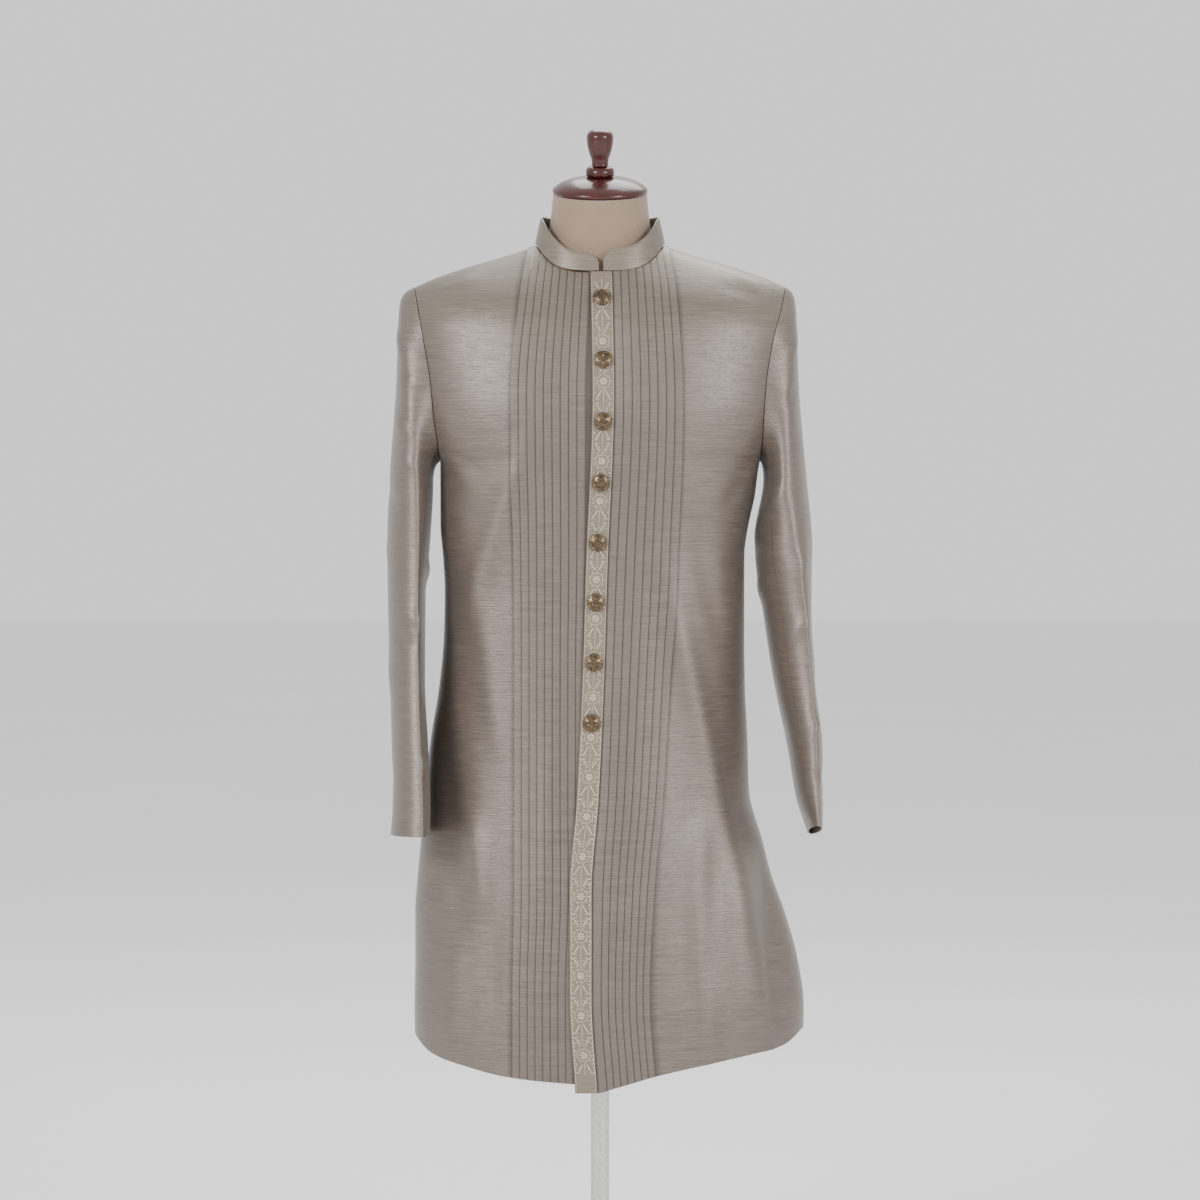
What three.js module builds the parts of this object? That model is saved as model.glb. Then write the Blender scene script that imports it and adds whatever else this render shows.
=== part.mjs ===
// A long sherwani coat on a limbless dress form with a plain round stand.
// Millimetres, +Z up. The coat's front faces -Y and the wearer's left is +X.
// The origin is the centre of the underside of the base.
import * as THREE from 'three';

// Driving dimensions
const CLOTH_WALL = 1.6;
const SEAM_GAP = 0.3;
const ARMHOLE_GAP = 0.8;
const TUCK_DEPTH = 1.2;
const TUCK_STEP = 0.2;
const TUCKS_UNDER_FRONT = 9;
const TUCKS_OVER_FRONT = 8;
const BAND_WIDTH = 26;
const BAND_THICKNESS = 1.4;
const BAND_INSET = 0.6;
const UNDERLAP = 38;
const LAP_EASE = 55;
const LAP_LIFT = CLOTH_WALL + TUCK_DEPTH + SEAM_GAP;

const HEM_HEIGHT = 320;
const UNDERARM_HEIGHT = 1052;
const SHOULDER_TIP = { x: 219.5, z: 1259 };
const NECK_SIDE = { x: 76, z: 1308 };
const NECK_FRONT_HEIGHT = 1274;
const NECK_BACK_HEIGHT = 1303;
const SHOULDER_ROUNDING = 70;
const SHOULDER_ROUND_POWER = 2.2;
const PLAN_POWER_SKIRT = 2.0;
const PLAN_POWER_CHEST = 2.4;

const VENT_TOP = 660;
const VENT_OPENING = 5;

const COLLAR_WALL = 2.0;
const COLLAR_BASE_GAP = 3.2;
const COLLAR_LEAN = 0.09;
const COLLAR_END_ROUND = 22;
const COLLAR_NOTCH = 1.4;

const BUTTON_COUNT = 8;
const BUTTON_TOP_HEIGHT = 1241.7;
const BUTTON_PITCH = 70.3;
const BUTTON_RADIUS = 10.7;
const BUTTON_HEIGHT = 6.4;
const BUTTON_SHANK = 0.4;

const SLEEVE_TUBE_TOP = 1030;
const CUFF_TILT = { right: 0.05, left: 0.18 };
const SLEEVE_FRONT_SEAM = -35;
const SLEEVE_BACK_SEAM = 195;

const FORM_BOTTOM = 640;
const NECK_TOP = 1369;
const NECK_TILT = THREE.MathUtils.degToRad(11);
const NECK_LEAN = 7.5;
const CAP_RADIUS = 56.5;
const POST_RADIUS = 12.5;
const BASE_RADIUS = 155;
const BASE_THICKNESS = 18;

// Plan of the coat at each height: half-widths to the wearer's right and left, and depths
// before and behind the shoulder line. Above the underarm the widths run on into the sleeve.
const BODY_SECTIONS = [
  { z: 320, right: 221, left: 241, front: 150, back: 158 },
  { z: 401, right: 222, left: 244, front: 148, back: 155 },
  { z: 455, right: 221, left: 237, front: 145, back: 152 },
  { z: 514, right: 221, left: 221, front: 141, back: 148 },
  { z: 558, right: 218, left: 205, front: 137, back: 144 },
  { z: 600, right: 214, left: 194, front: 133, back: 140 },
  { z: 660, right: 209, left: 178, front: 127, back: 134 },
  { z: 723, right: 202, left: 176, front: 121, back: 128 },
  { z: 784, right: 192, left: 173, front: 116, back: 119 },
  { z: 850, right: 186, left: 172, front: 112, back: 107 },
  { z: 900, right: 185, left: 172, front: 110, back: 100 },
  { z: 940, right: 187, left: 172, front: 111, back: 98 },
  { z: 978, right: 190, left: 177, front: 113, back: 100 },
  { z: 1010, right: 190, left: 184, front: 116, back: 104 },
  { z: 1052, right: 190, left: 190, front: 120, back: 110 },
  { z: 1070, right: 201, left: 201, front: 121, back: 112 },
  { z: 1110, right: 216, left: 216, front: 122, back: 116 },
  { z: 1150, right: 223, left: 223, front: 118, back: 118 },
  { z: 1205, right: 228, left: 228, front: 107, back: 116 },
  { z: 1240, right: 231, left: 231, front: 92, back: 110 },
  { z: 1260, right: 233, left: 233, front: 78, back: 103 },
  { z: 1274, right: 235, left: 235, front: 67, back: 97 },
  { z: 1290, right: 237, left: 237, front: 55, back: 85 },
  { z: 1310, right: 240, left: 240, front: 42, back: 66 },
];

// Shoulder seam seen from the front, from the neck to the tip.
const SHOULDER_LINE = [
  { x: 0, z: 1350 },
  { x: 76, z: 1308 },
  { x: 120, z: 1293.5 },
  { x: 161, z: 1281.5 },
  { x: 196, z: 1269.5 },
  { x: 219.5, z: 1259 },
];

// Armhole seam: its distance from the middle at each height.
const ARMHOLE = [
  { z: 1052, right: 190, left: 190 },
  { z: 1070, right: 190.5, left: 190.5 },
  { z: 1105, right: 195, left: 192 },
  { z: 1148, right: 199, left: 195 },
  { z: 1200, right: 208, left: 204 },
  { z: 1235, right: 214.5, left: 214 },
  { z: 1259, right: 219.5, left: 219.5 },
];

// Places of the tucks and of the band at each height. outerTuck and underPitch set out the
// right front, bandEdge is the band's outer edge, firstTuck and overPitch the left front.
const FRONT_LINES = [
  { z: 320, outerTuck: -102, underPitch: 9.0, bandEdge: -28.5, firstTuck: 8, overPitch: 8.2 },
  { z: 434, outerTuck: -102, underPitch: 8.9, bandEdge: -35, firstTuck: 1, overPitch: 8.1 },
  { z: 553, outerTuck: -100, underPitch: 9.1, bandEdge: -35, firstTuck: 3, overPitch: 8.6 },
  { z: 660, outerTuck: -100, underPitch: 9.0, bandEdge: -27, firstTuck: 9, overPitch: 9.2 },
  { z: 815, outerTuck: -100, underPitch: 9.0, bandEdge: -20, firstTuck: 15, overPitch: 9.7 },
  { z: 934, outerTuck: -101, underPitch: 9.3, bandEdge: -16.5, firstTuck: 19, overPitch: 10.2 },
  { z: 1136, outerTuck: -104, underPitch: 9.7, bandEdge: -9, firstTuck: 27, overPitch: 9.9 },
  { z: 1255, outerTuck: -93, underPitch: 9.0, bandEdge: -11, firstTuck: 24, overPitch: 9.3 },
  { z: 1300, outerTuck: -86, underPitch: 8.4, bandEdge: -12, firstTuck: 21, overPitch: 8.6 },
];

// Rise of the hem above its lowest point, by share of the half-width from the middle.
const HEM_RISE = [
  { share: -0.2, right: 9.5, left: 0, back: 22 },
  { share: -0.02, right: 9.5, left: 0.4, back: 22 },
  { share: 0.08, right: 10, left: 6.5, back: 22.4 },
  { share: 0.27, right: 12, left: 18.5, back: 24 },
  { share: 0.5, right: 16, left: 29, back: 28 },
  { share: 0.73, right: 25, left: 37.5, back: 34 },
  { share: 0.9, right: 34, left: 43.5, back: 42 },
  { share: 1.0, right: 50, left: 58, back: 52 },
];

// Hanging sleeve at each height: distance from the middle of its outermost and innermost
// points, of its front crease and of its back fold, and how far those two lie fore and aft.
const RIGHT_SLEEVE = [
  { z: 616, out: 246, in: 200, crease: 206, fold: 232, fore: -150, aft: -22 },
  { z: 646, out: 244, in: 199.5, crease: 206.5, fold: 231, fore: -144, aft: -14 },
  { z: 711, out: 245.5, in: 202.5, crease: 209.5, fold: 229, fore: -129, aft: 8 },
  { z: 798, out: 249, in: 207.5, crease: 212, fold: 229, fore: -109, aft: 42 },
  { z: 890, out: 252, in: 207.5, crease: 213.5, fold: 228, fore: -93, aft: 66 },
  { z: 960, out: 253, in: 202, crease: 214, fold: 224, fore: -84, aft: 78 },
  { z: 1030, out: 250.5, in: 198.5, crease: 216, fold: 220, fore: -79, aft: 80 },
  { z: 1140, out: 242.5, in: 198.5, crease: 219, fold: 218, fore: -71, aft: 76 },
  { z: 1235, out: 239, in: 200, crease: 219, fold: 219, fore: -60, aft: 66 },
];

const LEFT_SLEEVE = [
  { z: 619, out: 262, in: 245, crease: 255, fold: 252, fore: -134, aft: -2 },
  { z: 657, out: 262.5, in: 232, crease: 254, fold: 248, fore: -126, aft: 10 },
  { z: 711, out: 263, in: 223, crease: 252, fold: 243, fore: -115, aft: 28 },
  { z: 798, out: 253.5, in: 205.5, crease: 246.5, fold: 232, fore: -97, aft: 55 },
  { z: 870, out: 251, in: 194.5, crease: 241, fold: 224, fore: -90, aft: 66 },
  { z: 958, out: 252, in: 183.5, crease: 227, fold: 216, fore: -83, aft: 78 },
  { z: 1030, out: 246, in: 194.5, crease: 218, fold: 215, fore: -77, aft: 80 },
  { z: 1140, out: 236.5, in: 196, crease: 216, fold: 214, fore: -70, aft: 75 },
  { z: 1235, out: 233, in: 199, crease: 216, fold: 216, fore: -60, aft: 66 },
];

// Height of the collar above its seam, by angle from the middle of the front.
const COLLAR_HEIGHTS = [
  { angle: 0, right: 24.5, left: 28 },
  { angle: 25, right: 25, left: 29.5 },
  { angle: 60, right: 31, left: 32 },
  { angle: 90, right: 34, left: 34 },
  { angle: 135, right: 36, left: 36 },
  { angle: 180, right: 37, left: 37 },
];

// Plan of the dress form, from the hips to the top of the neck.
const FORM_SECTIONS = [
  { z: 640, side: 146, front: 100, back: 104 },
  { z: 652, side: 154, front: 105, back: 110 },
  { z: 720, side: 160, front: 107, back: 114 },
  { z: 790, side: 158, front: 104, back: 106 },
  { z: 850, side: 149, front: 99, back: 94 },
  { z: 905, side: 146, front: 97, back: 88 },
  { z: 965, side: 153, front: 101, back: 90 },
  { z: 1045, side: 172, front: 109, back: 99 },
  { z: 1110, side: 181, front: 111, back: 107 },
  { z: 1160, side: 188, front: 106, back: 109 },
  { z: 1200, side: 194, front: 97, back: 106 },
  { z: 1232, side: 197, front: 84, back: 99 },
  { z: 1248, side: 193, front: 75, back: 92 },
  { z: 1260, side: 178, front: 66, back: 84 },
  { z: 1270, side: 154, front: 58, back: 76 },
  { z: 1280, side: 118, front: 53, back: 66 },
  { z: 1290, side: 86, front: 51, back: 56 },
  { z: 1301, side: 69, front: 50, back: 50 },
  { z: 1314, side: 62, front: 51, back: 48 },
  { z: 1340, side: 58.5, front: 55, back: 46.5 },
  { z: 1369, side: 55.5, front: 63, back: 48 },
];

// Rows of the body panels: shares of the way from the hem to the underarm, then from the
// underarm to the neckline or shoulder seam.
const SKIRT_ROWS = [0, 0.05, 0.13, 0.22, 0.32, 0.42, 0.52, 0.62, 0.73, 0.84, 0.93, 1];
const YOKE_ROWS = [0.015, 0.04, 0.09, 0.17, 0.28, 0.4, 0.53, 0.66, 0.78, 0.88, 0.95, 0.985, 1];
const PLAIN_SHARES = [0.14, 0.36, 0.58, 0.77, 0.91, 1];
const BACK_SHARES = [0, 0.17, 0.346, 0.52, 0.7, 0.85, 0.95, 1];
const SLEEVE_HEAD_ROWS = [0, 0.08, 0.16, 0.26, 0.4, 0.58, 0.78, 1];
const SLEEVE_TUBE_ROWS = [0.16, 0.32, 0.46, 0.59, 0.72, 0.84, 0.93, 1];

// Smooth curve through one named column of a table, without overshoot between its rows.
function along(rows, key, value, column) {
  const last = rows.length - 1;
  if (value <= rows[0][key]) return rows[0][column];
  if (value >= rows[last][key]) return rows[last][column];
  let i = 0;
  while (value > rows[i + 1][key]) i += 1;
  const secant = (k) => (rows[k + 1][column] - rows[k][column]) / (rows[k + 1][key] - rows[k][key]);
  const slope = (k) => {
    if (k === 0) return secant(0);
    if (k === last) return secant(last - 1);
    const before = secant(k - 1);
    const after = secant(k);
    return before * after <= 0 ? 0 : (2 * before * after) / (before + after);
  };
  const span = rows[i + 1][key] - rows[i][key];
  const t = (value - rows[i][key]) / span;
  const rise = rows[i + 1][column] - rows[i][column];
  const bend = (1 - t) * slope(i) - t * slope(i + 1);
  return rows[i][column] + rise * t * t * (3 - 2 * t) + span * t * (1 - t) * bend;
}

const sideOf = (x) => (x < 0 ? 'right' : 'left');
const clamp01 = (value) => Math.min(1, Math.max(0, value));
const ease = (value) => clamp01(value) ** 2 * (3 - 2 * clamp01(value));

function shoulderHeight(x) {
  return along(SHOULDER_LINE, 'x', Math.abs(x), 'z');
}

// Roundness of the plan: an ellipse at the skirt and squarer at the chest.
function planPower(z) {
  return PLAN_POWER_SKIRT + (PLAN_POWER_CHEST - PLAN_POWER_SKIRT) * ease((z - 700) / 250);
}

// Depth of the coat's surface from the shoulder plane; face is 'front' or 'back'.
function bodyDepth(face, x, z) {
  const width = along(BODY_SECTIONS, 'z', z, sideOf(x));
  const depth = along(BODY_SECTIONS, 'z', z, face);
  const power = planPower(z);
  const plan = 1 - clamp01(Math.abs(x) / width) ** power;
  const below = clamp01((shoulderHeight(x) - z) / SHOULDER_ROUNDING);
  const round = 1 - (1 - below) ** SHOULDER_ROUND_POWER;
  return depth * plan ** (1 / power) * round ** (1 / SHOULDER_ROUND_POWER);
}

// A point of the surface with its outward direction. Seams leave half a gap on each side,
// and the side vents open by a little more towards the hem.
function bodyPoint(face, x, z) {
  const sign = face === 'front' ? -1 : 1;
  const inward = 0.05 * (x < 0 ? 1 : -1);
  const depth = bodyDepth(face, x, z);
  const slopeX = (bodyDepth(face, x + inward, z) - depth) / inward;
  const slopeZ = (depth - bodyDepth(face, x, z - 0.05)) / 0.05;
  const width = along(BODY_SECTIONS, 'z', z, sideOf(x));
  const vent = VENT_OPENING * ease((VENT_TOP - z) / 250) * (Math.abs(x) / width) ** 8;
  const point = new THREE.Vector3(x, sign * (depth + vent + SEAM_GAP / 2), z);
  const normal = new THREE.Vector3(-slopeX, sign, -slopeZ).normalize();
  return { point, normal };
}

function outerEdge(side, z) {
  if (z >= UNDERARM_HEIGHT) return along(ARMHOLE, 'z', z, side);
  return along(BODY_SECTIONS, 'z', z, side);
}

function neckHeight(face, x) {
  const share = Math.abs(x) / NECK_SIDE.x;
  const middle = face === 'front' ? NECK_FRONT_HEIGHT : NECK_BACK_HEIGHT;
  return middle + (NECK_SIDE.z - middle) * share ** 4;
}

function topHeight(face, x) {
  return Math.abs(x) < NECK_SIDE.x ? neckHeight(face, x) : shoulderHeight(x);
}

function hemHeight(panel, x) {
  const side = panel === 'back' ? sideOf(x) : panel;
  const outward = side === 'right' ? -x : x;
  const width = BODY_SECTIONS[0][side];
  return HEM_HEIGHT + along(HEM_RISE, 'share', outward / width, panel);
}

// Grid of a body panel: one row for each share of the height, one column for each function
// that gives a distance from the middle at a height.
function bodyGrid(panel, columns) {
  const face = panel === 'back' ? 'back' : 'front';
  const ends = columns.map((column) => {
    let top = NECK_SIDE.z;
    let hem = HEM_HEIGHT;
    for (let pass = 0; pass < 4; pass += 1) {
      top = topHeight(face, column.x(top));
      hem = hemHeight(panel, column.x(hem));
    }
    return { top, hem };
  });
  const skirt = SKIRT_ROWS.map((share) => ends.map(
    ({ hem }) => hem + (UNDERARM_HEIGHT - hem) * share));
  const yoke = YOKE_ROWS.map((share) => ends.map(
    ({ top }) => UNDERARM_HEIGHT + (top - UNDERARM_HEIGHT) * share));
  return [...skirt, ...yoke].map((heights) => heights.map((z, i) => {
    const spot = bodyPoint(face, columns[i].x(z), z);
    spot.raise = columns[i].raise ? columns[i].raise(z) : 0;
    return spot;
  }));
}

const moved = ({ point, normal }, distance) => point.clone().addScaledVector(normal, distance);

// Closed wall between an outer and an inner grid of the same rows and columns.
function wallBetween(outer, inner) {
  const rows = outer.length;
  const columns = outer[0].length;
  const positions = [];
  for (const grid of [outer, inner]) {
    for (const row of grid) {
      for (const point of row) positions.push(point.x, point.y, point.z);
    }
  }
  const out = (j, i) => j * columns + i;
  const back = (j, i) => rows * columns + j * columns + i;
  const index = [];
  const quad = (a, b, c, d) => index.push(a, b, c, a, c, d);
  for (let j = 0; j < rows - 1; j += 1) {
    for (let i = 0; i < columns - 1; i += 1) {
      quad(out(j, i), out(j, i + 1), out(j + 1, i + 1), out(j + 1, i));
      quad(back(j, i), back(j + 1, i), back(j + 1, i + 1), back(j, i + 1));
    }
  }
  for (let i = 0; i < columns - 1; i += 1) {
    quad(out(0, i), back(0, i), back(0, i + 1), out(0, i + 1));
    quad(out(rows - 1, i + 1), back(rows - 1, i + 1), back(rows - 1, i), out(rows - 1, i));
  }
  for (let j = 0; j < rows - 1; j += 1) {
    quad(out(j + 1, 0), back(j + 1, 0), back(j, 0), out(j, 0));
    const end = columns - 1;
    quad(out(j, end), back(j, end), back(j + 1, end), out(j + 1, end));
  }
  return closedGeometry(positions, index);
}

// Geometry with its faces pointing out, whichever way round its grid was laid.
function closedGeometry(positions, index) {
  let volume = 0;
  const corner = (k) => new THREE.Vector3().fromArray(positions, 3 * index[k]);
  for (let k = 0; k < index.length; k += 3) {
    volume += corner(k).dot(corner(k + 1).cross(corner(k + 2)));
  }
  const order = volume < 0 ? index.slice().reverse() : index;
  const geometry = new THREE.BufferGeometry();
  geometry.setAttribute('position', new THREE.Float32BufferAttribute(positions, 3));
  geometry.setIndex(order);
  geometry.computeVertexNormals();
  return geometry;
}

function bodyWall(grid) {
  const outer = grid.map((row) => row.map((spot) => moved(spot, spot.raise)));
  const inner = grid.map((row) => row.map((spot) => moved(spot, (spot.lift ?? 0) - CLOTH_WALL)));
  return wallBetween(outer, inner);
}

const frontLine = (z, column) => along(FRONT_LINES, 'z', z, column);

// Right front: it runs under the band, and its knife tucks fold away from the middle.
function underFrontColumns() {
  const innerEdge = (z) => frontLine(z, 'bandEdge') + UNDERLAP;
  const tuckLine = (z, k) => frontLine(z, 'outerTuck') + k * frontLine(z, 'underPitch');
  const lastTuck = TUCKS_UNDER_FRONT - 1;
  const columns = [{ x: innerEdge }];
  columns.push({ x: (z) => (innerEdge(z) + tuckLine(z, lastTuck + 1)) / 2 });
  columns.push({ x: (z) => tuckLine(z, lastTuck + 1) });
  for (let k = lastTuck; k >= 0; k -= 1) {
    columns.push({ x: (z) => tuckLine(z, k) + TUCK_STEP / 2, raise: () => TUCK_DEPTH });
    columns.push({ x: (z) => tuckLine(z, k) - TUCK_STEP / 2 });
  }
  for (const share of PLAIN_SHARES) {
    columns.push({ x: (z) => {
      const from = tuckLine(z, 0);
      return from + share * (-outerEdge('right', z) - from);
    } });
  }
  return columns;
}

// Left front: it laps over the right one, so its inner part is raised and eases down.
function overFrontColumns() {
  const bandEdge = (z) => frontLine(z, 'bandEdge');
  const tuckLine = (z, k) => frontLine(z, 'firstTuck') + k * frontLine(z, 'overPitch');
  const lift = (x, z) => LAP_LIFT * (1 - ease((x - bandEdge(z) - UNDERLAP - 4) / LAP_EASE));
  const places = [{ x: (z) => bandEdge(z), tuck: 0 }];
  places.push({ x: (z) => bandEdge(z) + BAND_WIDTH / 2, tuck: 0 });
  places.push({ x: (z) => bandEdge(z) + BAND_WIDTH, tuck: 0 });
  for (let k = 0; k < TUCKS_OVER_FRONT; k += 1) {
    places.push({ x: (z) => tuckLine(z, k) - TUCK_STEP / 2, tuck: TUCK_DEPTH });
    places.push({ x: (z) => tuckLine(z, k) + TUCK_STEP / 2, tuck: 0 });
  }
  for (const share of PLAIN_SHARES) {
    const x = (z) => {
      const from = tuckLine(z, TUCKS_OVER_FRONT - 1);
      return from + share * (outerEdge('left', z) - from);
    };
    places.push({ x, tuck: 0 });
  }
  return places.map(({ x, tuck }) => ({
    x,
    lift: (z) => lift(x(z), z),
    raise: (z) => lift(x(z), z) + tuck,
  }));
}

function underFront() {
  return bodyWall(bodyGrid('right', underFrontColumns()));
}

function overFrontGrid() {
  const columns = overFrontColumns();
  const grid = bodyGrid('left', columns);
  grid.forEach((row) => row.forEach((spot, i) => {
    spot.lift = columns[i].lift(spot.point.z);
  }));
  return grid;
}

function backPanel() {
  const shares = [...BACK_SHARES.slice(1).reverse().map((share) => -share), ...BACK_SHARES];
  const columns = shares.map((share) => ({
    x: (z) => share * outerEdge(share < 0 ? 'right' : 'left', z),
  }));
  return bodyWall(bodyGrid('back', columns));
}

// Grid of the front band: the first columns of the left front, drawn in from its edge.
function bandGrid() {
  return overFrontGrid().map((row) => {
    const spots = row.slice(0, 3);
    const across = spots[2].point.clone().sub(spots[0].point).normalize();
    return spots.map((spot, i) => ({
      point: spot.point.clone().addScaledVector(across, (1 - i) * BAND_INSET),
      normal: spots[1].normal,
    }));
  });
}

function frontBand() {
  const grid = bandGrid().slice(0, -1);
  const rise = LAP_LIFT + SEAM_GAP;
  const outer = grid.map((row) => row.map((spot) => moved(spot, rise + BAND_THICKNESS)));
  const inner = grid.map((row) => row.map((spot) => moved(spot, rise)));
  return wallBetween(outer, inner);
}

// Turned button: flat back, thin rim and a raised centre.
function buttonGeometry() {
  const profile = [
    [0, 0], [BUTTON_RADIUS * 0.5, 0], [BUTTON_RADIUS, BUTTON_HEIGHT * 0.28],
    [BUTTON_RADIUS, BUTTON_HEIGHT * 0.5], [BUTTON_RADIUS * 0.82, BUTTON_HEIGHT * 0.72],
    [BUTTON_RADIUS * 0.45, BUTTON_HEIGHT * 0.94], [0, BUTTON_HEIGHT],
  ];
  return turned(profile, 16);
}

function turned(profile, segments) {
  const points = profile.map(([radius, height]) => new THREE.Vector2(radius, height));
  return new THREE.LatheGeometry(points, segments).rotateX(Math.PI / 2);
}

function placeButton(mesh, height) {
  const middle = bandGrid().map((row) => row[1]);
  let j = 0;
  while (middle[j + 1].point.z < height) j += 1;
  const share = (height - middle[j].point.z) / (middle[j + 1].point.z - middle[j].point.z);
  const point = middle[j].point.clone().lerp(middle[j + 1].point, share);
  const normal = middle[j].normal.clone().lerp(middle[j + 1].normal, share).normalize();
  const rise = LAP_LIFT + BAND_THICKNESS + 2 * SEAM_GAP + BUTTON_SHANK;
  mesh.position.copy(point.addScaledVector(normal, rise));
  mesh.quaternion.setFromUnitVectors(new THREE.Vector3(0, 0, 1), normal);
}

// Stand collar: one band round the neck whose rounded ends meet at the front.
function collar() {
  const quarter = [2, 5, 9, 14, 20, 28, 38, 50, 62, 76, 90, 106, 122, 140, 160];
  const angles = [...quarter, 180, ...quarter.slice().reverse().map((angle) => 360 - angle)];
  const rows = [0, 0.34, 0.67, 1];
  const grid = rows.map((share) => angles.map((angle) => {
    const turn = THREE.MathUtils.degToRad(angle);
    const face = Math.cos(turn) > 0 ? 'front' : 'back';
    const x = NECK_SIDE.x * Math.sin(turn);
    const z = neckHeight(face, x);
    const sign = face === 'front' ? -1 : 1;
    const base = new THREE.Vector3(x, sign * bodyDepth(face, x, z), z + COLLAR_BASE_GAP);
    const side = angle < 180 ? 'left' : 'right';
    const fromFront = Math.min(angle, 360 - angle);
    const tall = along(COLLAR_HEIGHTS, 'angle', fromFront, side);
    const fromEnd = clamp01(Math.abs(x) / COLLAR_END_ROUND);
    const rounded = face === 'front' ? Math.sqrt(1 - (1 - fromEnd) ** 2) : 1;
    const height = share * (tall - COLLAR_BASE_GAP) * rounded;
    const lean = 1 - COLLAR_LEAN * share * rounded;
    const point = new THREE.Vector3(base.x * lean, base.y * lean, base.z + height);
    if (face === 'front') point.x += COLLAR_NOTCH * (1 - fromEnd);
    const normal = new THREE.Vector3(base.x / NECK_SIDE.x ** 2, base.y / 66 ** 2, 0).normalize();
    return { point, normal };
  }));
  const outer = grid.map((row) => row.map((spot) => moved(spot, COLLAR_WALL / 2)));
  const inner = grid.map((row) => row.map((spot) => moved(spot, -COLLAR_WALL / 2)));
  return wallBetween(outer, inner);
}

// Sleeve: a ring round the armhole that drops into a tube pressed flat fore and aft.
// Angles run from the front crease (0) over the outside (90) to the back fold (180).
function sleeveTubePoint(table, z, turn) {
  const [crease, fold, out, inside, fore, aft] = ['crease', 'fold', 'out', 'in', 'fore', 'aft']
    .map((column) => along(table, 'z', z, column));
  const ridge = Math.cos(turn) >= 0 ? crease : fold;
  const extreme = Math.sin(turn) >= 0 ? out : inside;
  const middle = (fore + aft) / 2;
  const end = Math.cos(turn) >= 0 ? fore : aft;
  const x = ridge + (extreme - ridge) * Math.abs(Math.sin(turn));
  const y = middle + (end - middle) * Math.abs(Math.cos(turn));
  return { x, y };
}

function armholePoint(side, turn) {
  const middle = 1130;
  const reach = Math.sin(turn) >= 0 ? SHOULDER_TIP.z - middle : middle - UNDERARM_HEIGHT;
  const z = middle + reach * Math.sin(turn);
  const x = along(ARMHOLE, 'z', z, side);
  const face = Math.cos(turn) >= 0 ? 'front' : 'back';
  const sign = face === 'front' ? -1 : 1;
  return { x: x + ARMHOLE_GAP, y: sign * bodyDepth(face, x, z), z };
}

function sleeveGrid(side, table, angles) {
  const turns = angles.map((angle) => THREE.MathUtils.degToRad(angle));
  const cuff = table[0].z;
  const mirror = side === 'right' ? -1 : 1;
  const head = SLEEVE_HEAD_ROWS.map((share) => turns.map((turn) => {
    const seam = armholePoint(side, turn);
    const drop = (seam.z - SLEEVE_TUBE_TOP) * share ** 1.8;
    const z = seam.z - drop;
    const start = sleeveTubePoint(table, seam.z, turn);
    const tube = sleeveTubePoint(table, z, turn);
    const reach = 7 + 11 * Math.cos(turn) ** 2;
    const hold = Math.exp(-drop / reach) * (1 - share ** 6);
    const x = tube.x + (seam.x - start.x) * hold;
    const y = tube.y + (seam.y - start.y) * hold;
    return new THREE.Vector3(mirror * x, y, z);
  }));
  const tube = SLEEVE_TUBE_ROWS.map((share) => turns.map((turn) => {
    const level = SLEEVE_TUBE_TOP + (cuff - SLEEVE_TUBE_TOP) * share;
    const { x, y } = sleeveTubePoint(table, level, turn);
    const middle = (along(table, 'z', level, 'fore') + along(table, 'z', level, 'aft')) / 2;
    return new THREE.Vector3(mirror * x, y, level - CUFF_TILT[side] * ease(share) * (y - middle));
  }));
  return [...head, ...tube];
}

// Outward direction at each point of a ring grid, from its neighbours.
function ringNormals(grid, closed) {
  const rows = grid.length;
  const columns = grid[0].length;
  return grid.map((row, j) => row.map((point, i) => {
    const next = closed ? (i + 1) % columns : Math.min(i + 1, columns - 1);
    const previous = closed ? (i + columns - 1) % columns : Math.max(i - 1, 0);
    const across = row[next].clone().sub(row[previous]);
    const down = grid[Math.min(j + 1, rows - 1)][i].clone().sub(grid[Math.max(j - 1, 0)][i]);
    return across.cross(down).normalize();
  }));
}

function sleevePieces(side, table) {
  const upperSteps = 13;
  const underSteps = 9;
  const angles = [];
  for (let i = 0; i < upperSteps; i += 1) {
    angles.push(SLEEVE_FRONT_SEAM + (SLEEVE_BACK_SEAM - SLEEVE_FRONT_SEAM) * i / upperSteps);
  }
  for (let i = 0; i < underSteps; i += 1) {
    angles.push(SLEEVE_BACK_SEAM + (360 + SLEEVE_FRONT_SEAM - SLEEVE_BACK_SEAM) * i / underSteps);
  }
  const grid = sleeveGrid(side, table, angles);
  const normals = ringNormals(grid, true);
  const outwards = side === 'right' ? 1 : -1;
  const slice = (from, count) => {
    const pick = (row) => Array.from({ length: count + 1 }, (_, i) => row[(from + i) % row.length]);
    const points = grid.map(pick);
    const directions = normals.map(pick);
    const outer = points.map((row) => row.map((point, i) => {
      if (i > 0 && i < count) return point;
      const towards = row[i === 0 ? 1 : count - 1].clone().sub(point).normalize();
      return point.clone().addScaledVector(towards, SEAM_GAP / 2);
    }));
    const inner = outer.map((row, j) => row.map((point, i) => (
      point.clone().addScaledVector(directions[j][i], -outwards * CLOTH_WALL))));
    return wallBetween(outer, inner);
  };
  return { upper: slice(0, upperSteps), under: slice(upperSteps, underSteps) };
}

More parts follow.
